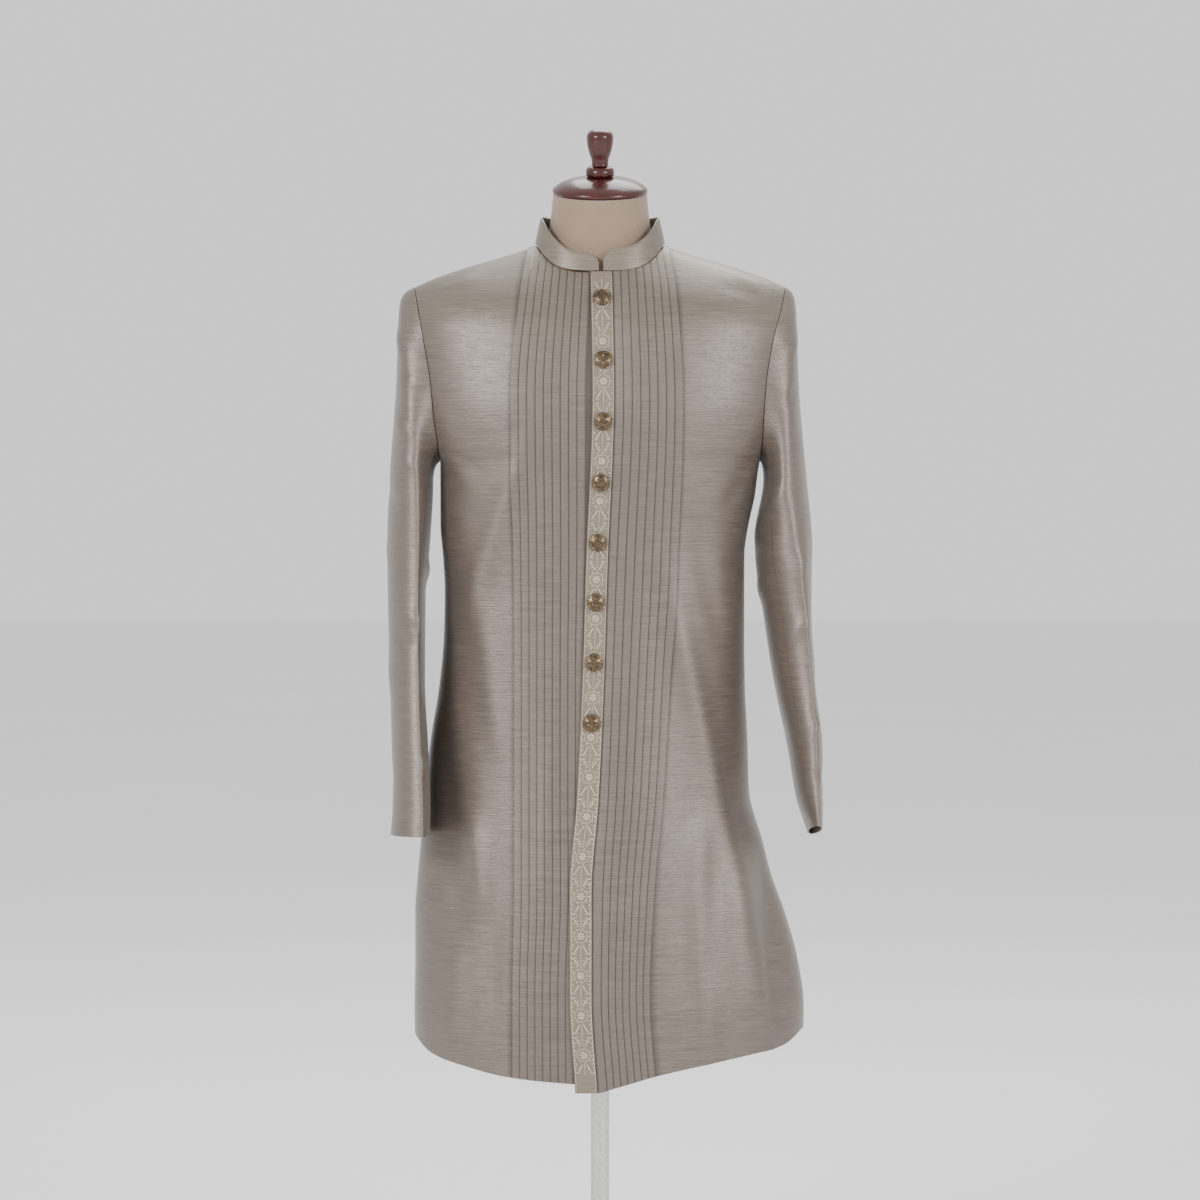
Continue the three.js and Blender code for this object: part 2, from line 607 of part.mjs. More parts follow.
// Dress form: rings of one smooth plan, closed at the hips and at the tilted neck top.
function formTorso() {
  const around = 32;
  const positions = [];
  const index = [];
  FORM_SECTIONS.forEach(({ z, side, front, back }) => {
    const tilt = Math.tan(NECK_TILT) * ease((z - 1314) / (NECK_TOP - 1314));
    const power = 2 + 0.35 * ease((1300 - z) / 40);
    for (let k = 0; k < around; k += 1) {
      const turn = 2 * Math.PI * k / around;
      const across = Math.sin(turn);
      const ahead = Math.cos(turn);
      const x = side * Math.sign(across) * Math.abs(across) ** (2 / power);
      const depth = ahead > 0 ? front : back;
      const y = -depth * Math.sign(ahead) * Math.abs(ahead) ** (2 / power);
      positions.push(x, y, z + tilt * (y + NECK_LEAN));
    }
  });
  const rings = FORM_SECTIONS.length;
  for (let j = 0; j < rings - 1; j += 1) {
    for (let k = 0; k < around; k += 1) {
      const next = (k + 1) % around;
      const a = j * around;
      const b = a + around;
      index.push(a + k, a + next, b + next, a + k, b + next, b + k);
    }
  }
  const bottom = positions.length / 3;
  positions.push(0, 0, FORM_SECTIONS[0].z);
  positions.push(0, -NECK_LEAN, FORM_SECTIONS[rings - 1].z);
  for (let k = 0; k < around; k += 1) {
    const next = (k + 1) % around;
    const top = (rings - 1) * around;
    index.push(bottom, next, k);
    index.push(bottom + 1, top + k, top + next);
  }
  return closedGeometry(positions, index);
}

function neckCap() {
  const profile = [
    [0, 0], [CAP_RADIUS - 2, 0], [CAP_RADIUS, 2], [CAP_RADIUS, 5], [CAP_RADIUS - 2.5, 8],
    [CAP_RADIUS * 0.82, 13], [CAP_RADIUS * 0.6, 17.5], [CAP_RADIUS * 0.36, 20], [0, 20],
  ];
  return turned(profile, 40);
}

function capRing() {
  return turned([[0, 0], [15.5, 0], [17, 3], [17, 8], [14, 12], [0, 12]], 28);
}

function finial() {
  const profile = [
    [0, 0], [10.5, 0], [9.6, 4], [10.4, 9], [13, 16], [15, 24], [16, 33], [15.6, 38],
    [12, 42], [6, 44], [0, 44.5],
  ];
  return turned(profile, 28);
}

function standPost() {
  const foot = BASE_THICKNESS + SEAM_GAP;
  const length = FORM_BOTTOM - SEAM_GAP - foot;
  return turned([[0, 0], [POST_RADIUS, 0], [POST_RADIUS, length], [0, length]], 24);
}

function standBase() {
  const profile = [
    [0, 0], [BASE_RADIUS - 2, 0], [BASE_RADIUS, 2], [BASE_RADIUS, BASE_THICKNESS - 8],
    [BASE_RADIUS - 6, BASE_THICKNESS - 3], [BASE_RADIUS - 14, BASE_THICKNESS], [0, BASE_THICKNESS],
  ];
  return turned(profile, 48);
}

const finish = (color, roughness, metalness) => (
  new THREE.MeshStandardMaterial({ color, roughness, metalness }));
const silk = () => finish(0x8f8478, 0.55, 0);
const brocade = () => finish(0xc4b79c, 0.6, 0.1);
const bronze = () => finish(0x8a7048, 0.35, 0.9);
const jersey = () => finish(0x856b54, 0.8, 0);
const mahogany = () => finish(0x4a130e, 0.25, 0);
const steel = () => finish(0xb8b8b6, 0.35, 0.9);

function piece(name, geometry, material) {
  const mesh = new THREE.Mesh(geometry, material);
  mesh.name = name;
  return mesh;
}

function coat() {
  const group = new THREE.Group();
  group.add(piece('front_right', underFront(), silk()));
  group.add(piece('front_left', bodyWall(overFrontGrid()), silk()));
  group.add(piece('back', backPanel(), silk()));
  for (const [side, table] of [['right', RIGHT_SLEEVE], ['left', LEFT_SLEEVE]]) {
    const { upper, under } = sleevePieces(side, table);
    group.add(piece(`sleeve_upper_${side}`, upper, silk()));
    group.add(piece(`sleeve_under_${side}`, under, silk()));
  }
  group.add(piece('collar', collar(), silk()));
  group.add(piece('front_band', frontBand(), brocade()));
  for (let k = 0; k < BUTTON_COUNT; k += 1) {
    const button = piece(`button_${k + 1}`, buttonGeometry(), bronze());
    placeButton(button, BUTTON_TOP_HEIGHT - k * BUTTON_PITCH);
    group.add(button);
  }
  return group;
}

function neckTop() {
  const group = new THREE.Group();
  group.position.set(0, -NECK_LEAN, NECK_TOP);
  group.rotation.x = NECK_TILT;
  const cap = piece('neck_cap', neckCap(), mahogany());
  cap.position.z = SEAM_GAP;
  const ring = piece('cap_ring', capRing(), mahogany());
  ring.position.z = 20 + 2 * SEAM_GAP;
  const knob = piece('finial', finial(), mahogany());
  knob.position.z = 32 + 3 * SEAM_GAP;
  group.add(cap, ring, knob);
  return group;
}

function dressForm() {
  const group = new THREE.Group();
  group.add(piece('form_torso', formTorso(), jersey()));
  group.add(neckTop());
  const post = piece('stand_post', standPost(), steel());
  post.position.z = BASE_THICKNESS + SEAM_GAP;
  group.add(post);
  group.add(piece('stand_base', standBase(), mahogany()));
  return group;
}

const sherwani = new THREE.Group();
sherwani.add(coat(), dressForm());

export default sherwani;
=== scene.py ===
"""Sherwani coat on a limbless dress form: slubbed silk, knife tucks, worked band, turned stand."""
import math
import random

import bpy
import bmesh
from mathutils import Matrix, Vector


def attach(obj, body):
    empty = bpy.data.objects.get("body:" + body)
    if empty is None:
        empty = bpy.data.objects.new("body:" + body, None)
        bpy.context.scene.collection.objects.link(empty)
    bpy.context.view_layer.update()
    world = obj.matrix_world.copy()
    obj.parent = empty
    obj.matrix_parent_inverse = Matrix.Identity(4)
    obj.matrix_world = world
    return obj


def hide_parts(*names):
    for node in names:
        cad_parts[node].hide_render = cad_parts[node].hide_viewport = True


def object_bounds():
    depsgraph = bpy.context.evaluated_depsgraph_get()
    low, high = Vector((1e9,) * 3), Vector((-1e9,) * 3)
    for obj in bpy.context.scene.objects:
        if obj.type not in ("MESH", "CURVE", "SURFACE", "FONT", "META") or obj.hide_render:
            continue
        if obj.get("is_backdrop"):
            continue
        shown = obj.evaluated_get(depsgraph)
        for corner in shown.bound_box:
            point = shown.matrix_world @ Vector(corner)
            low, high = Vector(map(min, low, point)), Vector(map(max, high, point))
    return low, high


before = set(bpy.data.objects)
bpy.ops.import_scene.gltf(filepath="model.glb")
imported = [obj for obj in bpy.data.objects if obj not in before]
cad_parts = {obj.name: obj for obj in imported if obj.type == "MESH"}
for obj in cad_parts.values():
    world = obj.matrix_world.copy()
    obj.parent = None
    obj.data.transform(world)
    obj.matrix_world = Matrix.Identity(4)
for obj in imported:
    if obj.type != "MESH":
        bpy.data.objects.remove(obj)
CAD_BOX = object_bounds()

bl_info = {
    "name": "Sherwani coat",
    "version": (1, 0, 0),
    "blender": (4, 5, 0),
    "location": "View3D > Sidebar > Sherwani",
    "description": "Builds a tucked silk sherwani coat on a dress form",
    "category": "Add Mesh",
}

MM = 0.001
FOLD_STRENGTH = 1.4

# Sizes of the cut, in millimetres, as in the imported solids.
CLOTH_WALL = 1.6
SEAM_GAP = 0.3
ARMHOLE_GAP = 0.8
TUCK_DEPTH = 1.2
TUCKS_UNDER = 9
TUCKS_OVER = 8
BAND_WIDTH = 26.0
BAND_THICKNESS = 1.4
BAND_INSET = 0.6
UNDERLAP = 38.0
LAP_EASE = 55.0
LAP_LIFT = CLOTH_WALL + TUCK_DEPTH + SEAM_GAP
HEM_HEIGHT = 320.0
UNDERARM_HEIGHT = 1052.0
SHOULDER_TIP_HEIGHT = 1259.0
ARMHOLE_MIDDLE = 1130.0
NECK_SIDE_X = 76.0
NECK_SIDE_Z = 1308.0
NECK_FRONT_Z = 1274.0
NECK_BACK_Z = 1303.0
SHOULDER_ROUNDING = 70.0
SHOULDER_POWER = 2.2
VENT_TOP = 660.0
VENT_OPENING = 5.0
COLLAR_WALL = 2.0
COLLAR_BASE_GAP = 3.2
COLLAR_LEAN = 0.09
COLLAR_END_ROUND = 22.0
COLLAR_NOTCH = 1.4
SLEEVE_TUBE_TOP = 1030.0
CUFF_TILT = {"right": 0.05, "left": 0.18}
SLEEVE_FRONT_SEAM = -35.0
SLEEVE_BACK_SEAM = 195.0
BUTTON_COUNT = 8
BUTTON_TOP_HEIGHT = 1241.7
BUTTON_PITCH = 70.3
BUTTON_RADIUS = 10.7
BUTTON_HEIGHT = 6.4
BUTTON_SHANK = 0.4
RIM_FACETS = 20
CAP_RADIUS = 56.5
CAP_HEIGHT = 20.0
RING_HEIGHT = 12.0
POST_RADIUS = 12.5
FORM_BOTTOM = 640.0
BASE_RADIUS = 155.0
BASE_THICKNESS = 18.0
NECK_TOP = 1369.0
NECK_LEAN = 7.5
NECK_TILT = math.radians(11)

# Roundness of the plan, from an ellipse at the skirt to a squarer chest.
PLAN_POWER_SKIRT = 2.0
PLAN_POWER_CHEST = 2.4
CHEST_SQUARES_FROM = 700.0
CHEST_SQUARES_OVER = 250.0
COLLAR_PLAN_DEPTH = 66.0

# Room left between neighbours on the fronts, and the crown of the band.
UNDERLAP_ROOM = 0.3
TUCK_ROOM = 0.25
BAND_ROOM = 0.4
LAP_MARGIN = 4.0
BAND_CROWN = 0.35
MOTIF_TOP = 1262.0
DENSE_BELOW = 744.0

# Fineness of the meshes: rows and columns of each piece.
SKIRT_ROWS = 64
YOKE_ROWS = 40
BAND_ROWS = 200
BAND_COLUMNS = 8
BACK_HALF_COLUMNS = 44
COLLAR_ROWS = 12
COLLAR_HALF_COLUMNS = 72
SLEEVE_HEAD_ROWS = 34
SLEEVE_TUBE_ROWS = 66
UPPER_SLEEVE_COLUMNS = 62
UNDER_SLEEVE_COLUMNS = 40
FORM_ROWS = 150
FORM_COLUMNS = 96


def table(columns, *rows):
    """Rows of a table as dictionaries with named columns."""
    names = columns.split()
    return [dict(zip(names, row)) for row in rows]


BODY = table("z right left front back",
    (320, 221, 241, 150, 158), (401, 222, 244, 148, 155), (455, 221, 237, 145, 152),
    (514, 221, 221, 141, 148), (558, 218, 205, 137, 144), (600, 214, 194, 133, 140),
    (660, 209, 178, 127, 134), (723, 202, 176, 121, 128), (784, 192, 173, 116, 119),
    (850, 186, 172, 112, 107), (900, 185, 172, 110, 100), (940, 187, 172, 111, 98),
    (978, 190, 177, 113, 100), (1010, 190, 184, 116, 104), (1052, 190, 190, 120, 110),
    (1070, 201, 201, 121, 112), (1110, 216, 216, 122, 116), (1150, 223, 223, 118, 118),
    (1205, 228, 228, 107, 116), (1240, 231, 231, 92, 110), (1260, 233, 233, 78, 103),
    (1274, 235, 235, 67, 97), (1290, 237, 237, 55, 85), (1310, 240, 240, 42, 66))
SHOULDER = table("x z", (0, 1350), (76, 1308), (120, 1293.5), (161, 1281.5), (196, 1269.5),
    (219.5, 1259))
ARMHOLE = table("z right left", (1052, 190, 190), (1070, 190.5, 190.5), (1105, 195, 192),
    (1148, 199, 195), (1200, 208, 204), (1235, 214.5, 214), (1259, 219.5, 219.5))
LINES = table("z outer_tuck under_pitch band_edge first_tuck over_pitch",
    (320, -102, 9.0, -28.5, 8, 8.2), (434, -102, 8.9, -35, 1, 8.1), (553, -100, 9.1, -35, 3, 8.6),
    (660, -100, 9.0, -27, 9, 9.2), (815, -100, 9.0, -20, 15, 9.7), (934, -101, 9.3, -16.5, 19, 10.2),
    (1136, -104, 9.7, -9, 27, 9.9), (1255, -93, 9.0, -11, 24, 9.3), (1300, -86, 8.4, -12, 21, 8.6))
HEM_RISE = table("share right left back", (-0.2, 9.5, 0, 22), (-0.02, 9.5, 0.4, 22),
    (0.08, 10, 6.5, 22.4), (0.27, 12, 18.5, 24), (0.5, 16, 29, 28), (0.73, 25, 37.5, 34),
    (0.9, 34, 43.5, 42), (1.0, 50, 58, 52))
SLEEVES = {
    "right": table("z out in crease fold fore aft",
        (616, 246, 200, 206, 232, -150, -22), (646, 244, 199.5, 206.5, 231, -144, -14),
        (711, 245.5, 202.5, 209.5, 229, -129, 8), (798, 249, 207.5, 212, 229, -109, 42),
        (890, 252, 207.5, 213.5, 228, -93, 66), (960, 253, 202, 214, 224, -84, 78),
        (1030, 250.5, 198.5, 216, 220, -79, 80), (1140, 242.5, 198.5, 219, 218, -71, 76),
        (1235, 239, 200, 219, 219, -60, 66)),
    "left": table("z out in crease fold fore aft",
        (619, 262, 245, 255, 252, -134, -2), (657, 262.5, 232, 254, 248, -126, 10),
        (711, 263, 223, 252, 243, -115, 28), (798, 253.5, 205.5, 246.5, 232, -97, 55),
        (870, 251, 194.5, 241, 224, -90, 66), (958, 252, 183.5, 227, 216, -83, 78),
        (1030, 246, 194.5, 218, 215, -77, 80), (1140, 236.5, 196, 216, 214, -70, 75),
        (1235, 233, 199, 216, 216, -60, 66)),
}
COLLAR_HEIGHTS = table("angle right left", (0, 24.5, 28), (25, 25, 29.5), (60, 31, 32),
    (90, 34, 34), (135, 36, 36), (180, 37, 37))
FORM = table("z side front back", (640, 146, 100, 104), (652, 154, 105, 110), (720, 160, 107, 114),
    (790, 158, 104, 106), (850, 149, 99, 94), (905, 146, 97, 88), (965, 153, 101, 90),
    (1045, 172, 109, 99), (1110, 181, 111, 107), (1160, 188, 106, 109), (1200, 194, 97, 106),
    (1232, 197, 84, 99), (1248, 193, 75, 92), (1260, 178, 66, 84), (1270, 154, 58, 76),
    (1280, 118, 53, 66), (1290, 86, 51, 56), (1301, 69, 50, 50), (1314, 62, 51, 48),
    (1340, 58.5, 55, 46.5), (1369, 55.5, 63, 48))

# Soft folds of the hanging cloth: each runs from one end to the other, with its half-width
# and its height out of the surface (a negative height is a trough).
FRONT_FOLDS = table("x0 z0 x1 z1 wide high",
    (-96, 1045, -150, 895, 14, 3.0), (-140, 900, -118, 740, 16, 2.4), (-150, 620, -134, 540, 15, 3.2),
    (-176, 700, -168, 520, 17, -2.4), (-122, 560, -128, 420, 12, -2.0), (-168, 470, -175, 372, 12, 2.4),
    (92, 860, 160, 560, 15, 4.2), (160, 560, 176, 410, 20, 5.0), (200, 560, 206, 400, 16, -4.5),
    (120, 620, 112, 470, 13, 2.2), (104, 520, 100, 440, 12, -1.8), (128, 440, 126, 362, 9, 2.6),
    (186, 470, 200, 366, 9, 3.2), (196, 1072, 172, 1020, 8, 3.6), (190, 1035, 150, 1010, 9, -2.6),
    (-190, 1068, -150, 1030, 8, 2.4), (158, 1276, 182, 1262, 4, 1.4), (150, 1258, 186, 1245, 5, -1.2),
    (-150, 1268, -186, 1255, 5, 1.2), (112, 980, 138, 860, 13, -1.8), (-60, 700, -64, 560, 10, 0.8))
BACK_FOLDS = table("x0 z0 x1 z1 wide high",
    (-60, 880, -110, 520, 17, 4.2), (30, 860, 10, 480, 20, -3.0), (90, 900, 150, 500, 17, 4.6),
    (-150, 1010, -60, 930, 12, 2.6), (150, 1015, 66, 940, 12, 2.8), (-40, 930, 46, 922, 9, -2.2),
    (-150, 560, -170, 380, 15, -3.4), (60, 520, 66, 350, 14, 2.6), (-30, 560, -40, 352, 13, 2.4),
    (-120, 1150, -150, 1080, 12, 2.4), (126, 1160, 156, 1085, 12, 2.0), (160, 470, 176, 380, 12, -2.6))
SLEEVE_FOLDS = {
    "right": table("angle z wide tall high",
        (60, 1195, 26, 10, 1.8), (25, 1150, 22, 9, -1.6), (40, 1098, 26, 8, 1.8), (14, 1052, 20, 8, 1.8),
        (60, 1010, 30, 12, -1.6), (8, 872, 26, 9, 2.4), (24, 845, 30, 8, -2.0), (340, 700, 26, 9, 1.6),
        (120, 960, 34, 10, 1.8), (165, 905, 30, 9, -2.4), (175, 880, 28, 8, 2.2), (255, 920, 30, 10, 2.4),
        (100, 690, 30, 14, -1.2), (70, 800, 34, 18, 1.2)),
    "left": table("angle z wide tall high",
        (50, 1190, 26, 10, 1.6), (30, 1130, 22, 9, -1.6), (330, 1010, 26, 14, 2.4), (300, 960, 28, 12, -2.2),
        (20, 935, 24, 14, 2.2), (350, 860, 26, 9, 2.0), (14, 745, 22, 8, 2.0), (5, 690, 22, 7, -1.6),
        (120, 965, 34, 10, 1.8), (165, 900, 30, 9, -2.2), (178, 876, 28, 8, 2.2), (80, 820, 34, 18, 1.2),
        (270, 900, 26, 12, 1.8), (60, 680, 30, 12, -1.0)),
}


def along(rows, key, value, column):
    """Smooth value of one column at a place along the table, without overshoot."""
    last = len(rows) - 1
    if value <= rows[0][key]:
        return rows[0][column]
    if value >= rows[last][key]:
        return rows[last][column]
    i = 0
    while value > rows[i + 1][key]:
        i += 1

    def secant(k):
        return (rows[k + 1][column] - rows[k][column]) / (rows[k + 1][key] - rows[k][key])

    def slope(k):
        if k == 0:
            return secant(0)
        if k == last:
            return secant(last - 1)
        before, after = secant(k - 1), secant(k)
        return 0.0 if before * after <= 0 else 2 * before * after / (before + after)

    span = rows[i + 1][key] - rows[i][key]
    t = (value - rows[i][key]) / span
    rise = rows[i + 1][column] - rows[i][column]
    bend = (1 - t) * slope(i) - t * slope(i + 1)
    return rows[i][column] + rise * t * t * (3 - 2 * t) + span * t * (1 - t) * bend


def clamp(value):
    return min(1.0, max(0.0, value))


def ease(value):
    t = clamp(value)
    return t * t * (3 - 2 * t)


def side_of(x):
    return "right" if x < 0 else "left"


def shoulder_height(x):
    return along(SHOULDER, "x", abs(x), "z")


def body_depth(face, x, z):
    """Depth of the coat's surface before or behind the shoulder line."""
    width = along(BODY, "z", z, side_of(x))
    depth = along(BODY, "z", z, face)
    squarer = ease((z - CHEST_SQUARES_FROM) / CHEST_SQUARES_OVER)
    power = PLAN_POWER_SKIRT + (PLAN_POWER_CHEST - PLAN_POWER_SKIRT) * squarer
    plan = 1 - clamp(abs(x) / width) ** power
    below = clamp((shoulder_height(x) - z) / SHOULDER_ROUNDING)
    rounding = 1 - (1 - below) ** SHOULDER_POWER
    return depth * plan ** (1 / power) * rounding ** (1 / SHOULDER_POWER)


def fold_height(folds, x, z):
    """Height of all the soft folds at a place, each fading out at its ends and sides."""
    total = 0.0
    for fold in folds:
        run_x, run_z = fold["x1"] - fold["x0"], fold["z1"] - fold["z0"]
        length = math.hypot(run_x, run_z)
        share = ((x - fold["x0"]) * run_x + (z - fold["z0"]) * run_z) / length ** 2
        if share < -0.4 or share > 1.4:
            continue
        off = ((x - fold["x0"]) * run_z - (z - fold["z0"]) * run_x) / length
        if abs(off) > 3.2 * fold["wide"]:
            continue
        ends = ease((share + 0.4) / 0.6) * ease((1.4 - share) / 0.6)
        total += fold["high"] * ends * math.exp(-(off / fold["wide"]) ** 2)
    return FOLD_STRENGTH * total


def body_spot(face, x, z):
    """Point and outward direction of the body's surface, half a gap off each seam."""
    sign = -1 if face == "front" else 1
    step = 0.05 if x < 0 else -0.05
    depth = body_depth(face, x, z)
    slope_x = (body_depth(face, x + step, z) - depth) / step
    slope_z = (depth - body_depth(face, x, z - 0.05)) / 0.05
    width = along(BODY, "z", z, side_of(x))
    vent = VENT_OPENING * ease((VENT_TOP - z) / 250) * (abs(x) / width) ** 8
    point = Vector((x, sign * (depth + vent + SEAM_GAP / 2), z))
    return point, Vector((-slope_x, sign, -slope_z)).normalized()


def outer_edge(side, z):
    if z >= UNDERARM_HEIGHT:
        return along(ARMHOLE, "z", z, side)
    return along(BODY, "z", z, side)


def neck_height(face, x):
    middle = NECK_FRONT_Z if face == "front" else NECK_BACK_Z
    return middle + (NECK_SIDE_Z - middle) * (abs(x) / NECK_SIDE_X) ** 4


def top_height(face, x):
    return neck_height(face, x) if abs(x) < NECK_SIDE_X else shoulder_height(x)


def hem_height(panel, x):
    side = side_of(x) if panel == "back" else panel
    outward = -x if side == "right" else x
    return HEM_HEIGHT + along(HEM_RISE, "share", outward / BODY[0][side], panel)


def body_grid(panel, columns):
    """Rows of (point, normal, fold height) from the hem to the neck and shoulder seam."""
    face = "back" if panel == "back" else "front"
    folds = BACK_FOLDS if panel == "back" else FRONT_FOLDS
    ends = []
    for column in columns:
        top, hem = NECK_SIDE_Z, HEM_HEIGHT
        for _ in range(4):
            top = top_height(face, column(top))
            hem = hem_height(panel, column(hem))
        ends.append((top, hem))
    shares = [("skirt", k / SKIRT_ROWS) for k in range(SKIRT_ROWS + 1)]
    shares += [("yoke", math.sin(math.pi / 2 * (k / YOKE_ROWS) ** 1.35)) for k in range(1, YOKE_ROWS + 1)]
    grid = []
    for part, share in shares:
        row = []
        for column, (top, hem) in zip(columns, ends):
            z = hem + (UNDERARM_HEIGHT - hem) * share
            if part == "yoke":
                z = UNDERARM_HEIGHT + (top - UNDERARM_HEIGHT) * share
            x = column(z)
            point, normal = body_spot(face, x, z)
            calm = ease((outer_edge(side_of(x), z) - abs(x)) / 12) * ease((top - z) / 18)
            row.append((point, normal, fold_height(folds, x, z) * calm))
        grid.append(row)
    return grid


def mesh_object(name, points, faces, material, smooth=True):
    """Object in metres from points in millimetres, with its faces turned outward."""
    mesh = bpy.data.meshes.new(name)
    mesh.from_pydata([tuple(p * MM) for p in points], [], faces)
    work = bmesh.new()
    work.from_mesh(mesh)
    bmesh.ops.recalc_face_normals(work, faces=work.faces)
    if work.calc_volume(signed=True) < 0:
        bmesh.ops.reverse_faces(work, faces=work.faces)
    work.to_mesh(mesh)
    work.free()
    mesh.polygons.foreach_set("use_smooth", [smooth] * len(mesh.polygons))
    mesh.materials.append(material)
    obj = bpy.data.objects.new(name, mesh)
    bpy.context.scene.collection.objects.link(obj)
    return obj


def wall_object(name, outer, inner, material, sharp=40, tuck_shades=None):
    """Closed thin wall between two grids, with an optional per-column share of painted shade for the tuck
    grooves.
    """
    rows, columns = len(outer), len(outer[0])
    points = [p for grid in (outer, inner) for row in grid for p in row]
    half = rows * columns
    faces = []
    for j in range(rows - 1):
        for i in range(columns - 1):
            a, b = j * columns + i, (j + 1) * columns + i
            faces.append((a, a + 1, b + 1, b))
            faces.append((half + a, half + b, half + b + 1, half + a + 1))
    for i in range(columns - 1):
        top = (rows - 1) * columns + i
        faces.append((i, half + i, half + i + 1, i + 1))
        faces.append((top + 1, half + top + 1, half + top, top))
    for j in range(rows - 1):
        a, b = j * columns, (j + 1) * columns
        faces.append((b, half + b, half + a, a))
        c, d = a + columns - 1, b + columns - 1
        faces.append((c, half + c, half + d, d))
    obj = mesh_object(name, points, faces, material)
    obj.data.set_sharp_from_angle(angle=math.radians(sharp))
    # Painted shade mask: 1 at the columns where a tuck's fold edge casts its shadow, read by the silk.
    if tuck_shades:
        tuck_shade = obj.data.attributes.new("tuck_shade", "FLOAT", "POINT")
        tuck_shade.data.foreach_set("value", tuck_shades * (2 * rows))
    return obj


def lines_at(z, column):
    return along(LINES, "z", z, column)


def under_tuck(z, k):
    return lines_at(z, "outer_tuck") + k * lines_at(z, "under_pitch")


def over_tuck(z, k):
    return lines_at(z, "first_tuck") + k * lines_at(z, "over_pitch")


def tuck_profile(share):
    """Height of one knife tuck across its width: a soft rise to a rounded fold edge."""
    return TUCK_DEPTH * (0.12 + 0.88 * share ** 0.8)


def body_wall(name, panel, columns, raises, material, lift=None, tuck_shades=None):
    """Cloth wall of a body panel: raises lift its tucks, lift its lap, and its folds lift both faces."""
    grid = body_grid(panel, columns)
    outer = []
    inner = []
    for row in grid:
        outer_row, inner_row = [], []
        for (point, normal, fold), raised in zip(row, raises):
            held = lift(point.x, point.z) if lift else 0.0
            outer_row.append(point + normal * (held + raised(point.z) + fold))
            inner_row.append(point + normal * (held - CLOTH_WALL + fold))
        outer.append(outer_row)
        inner.append(inner_row)
    return wall_object(name, outer, inner, material, tuck_shades=tuck_shades)


def plain_columns(start, side, count):
    sign = -1 if side == "right" else 1
    shares = [math.sin(math.pi / 2 * (k / count)) for k in range(1, count + 1)]
    return [lambda z, s=share: start(z) + s * (sign * outer_edge(side, z) - start(z)) for share in shares]


TUCK_STEPS = (0.0, 0.25, 0.5, 0.75, 0.93, 1.0)


def no_raise(z):
    return 0.0


def make_front_right(material):
    """Under front: nine knife tucks folding away from the middle."""
    columns, raises = [], []
    for share in (0.0, 0.5, 1.0):
        columns.append(lambda z, s=share: (1 - s) * (lines_at(z, "band_edge") + UNDERLAP)
                       + s * (under_tuck(z, TUCKS_UNDER) + UNDERLAP_ROOM))
        raises.append(no_raise)
    for k in range(TUCKS_UNDER - 1, -1, -1):
        for share in TUCK_STEPS:
            columns.append(lambda z, s=share, n=k: under_tuck(z, n + 1)
                           - s * (lines_at(z, "under_pitch") - TUCK_ROOM))
            raises.append(lambda z, s=share: tuck_profile(s) if s > 0 else 0.0)
        columns.append(lambda z, n=k: under_tuck(z, n))
        raises.append(no_raise)
    plain = plain_columns(lambda z: under_tuck(z, 0), "right", 26)
    columns += plain
    raises += [no_raise] * len(plain)
    # Painted shade: mark the columns at each tuck's fold line, where its shadow falls.
    tuck_shades = [0.0] * len(columns)
    for k in range(TUCKS_UNDER + 1):
        tuck_shades[2 + k * (len(TUCK_STEPS) + 1)] = 1.0
        tuck_shades[3 + k * (len(TUCK_STEPS) + 1)] = 1.0 if k < TUCKS_UNDER else 0.0
    return body_wall("coat_front_right", "right", columns, raises, material, tuck_shades=tuck_shades)


def over_lift(x, z):
    """How far the over front stands off to clear the front under it."""
    edge = lines_at(z, "band_edge") + UNDERLAP + LAP_MARGIN
    return LAP_LIFT * (1 - ease((x - edge) / LAP_EASE))


def make_front_left(material):
    """Over front: the band's ground, then eight knife tucks folding away from the middle."""
    columns, raises = [], []
    for share in (0.0, 0.25, 0.5, 0.75, 1.0):
        columns.append(lambda z, s=share: lines_at(z, "band_edge") + s * (BAND_WIDTH + BAND_ROOM))
        raises.append(no_raise)
    for k in range(TUCKS_OVER):
        for share in TUCK_STEPS[1:]:
            def place(z, s=share, n=k):
                start = over_tuck(z, n - 1) if n else lines_at(z, "band_edge") + BAND_WIDTH + BAND_ROOM
                return start + s * (over_tuck(z, n) - TUCK_ROOM - start)
            columns.append(place)
            raises.append(lambda z, s=share: tuck_profile(s))
        columns.append(lambda z, n=k: over_tuck(z, n))
        raises.append(no_raise)
    plain = plain_columns(lambda z: over_tuck(z, TUCKS_OVER - 1), "left", 30)
    columns += plain
    raises += [no_raise] * len(plain)
    # Painted shade: mark the columns at each tuck's fold line, where its shadow falls.
    tuck_shades = [0.0] * len(columns)
    tuck_shades[4] = 1.0
    for k in range(TUCKS_OVER):
        tuck_shades[4 + (k + 1) * len(TUCK_STEPS)] = 1.0
    return body_wall("coat_front_left", "left", columns, raises, material, over_lift, tuck_shades)


def make_back(material):
    """Whole back, from one side seam to the other."""
    half = BACK_HALF_COLUMNS
    shares = [math.sin(math.pi / 2 * k / half) for k in range(-half, half + 1)]
    columns = [lambda z, s=share: s * outer_edge("right" if s < 0 else "left", z) for share in shares]
    return body_wall("coat_back", "back", columns, [no_raise] * len(columns), material)


def band_spot(z, across, rise):
    """Point on the front band: across runs 0 to 1 over its width, rise is above its face."""
    x = lines_at(z, "band_edge") + BAND_INSET + across * (BAND_WIDTH - 2 * BAND_INSET)
    point, normal = body_spot("front", x, z)
    top = LAP_LIFT + SEAM_GAP + BAND_THICKNESS
    fold = fold_height(FRONT_FOLDS, x, z)
    return point + normal * (top + rise + fold), normal


def band_crown(across):
    """Height of the band's soft face against its middle, which is the highest."""
    return BAND_CROWN * (1 - (2 * across - 1) ** 4) - BAND_CROWN


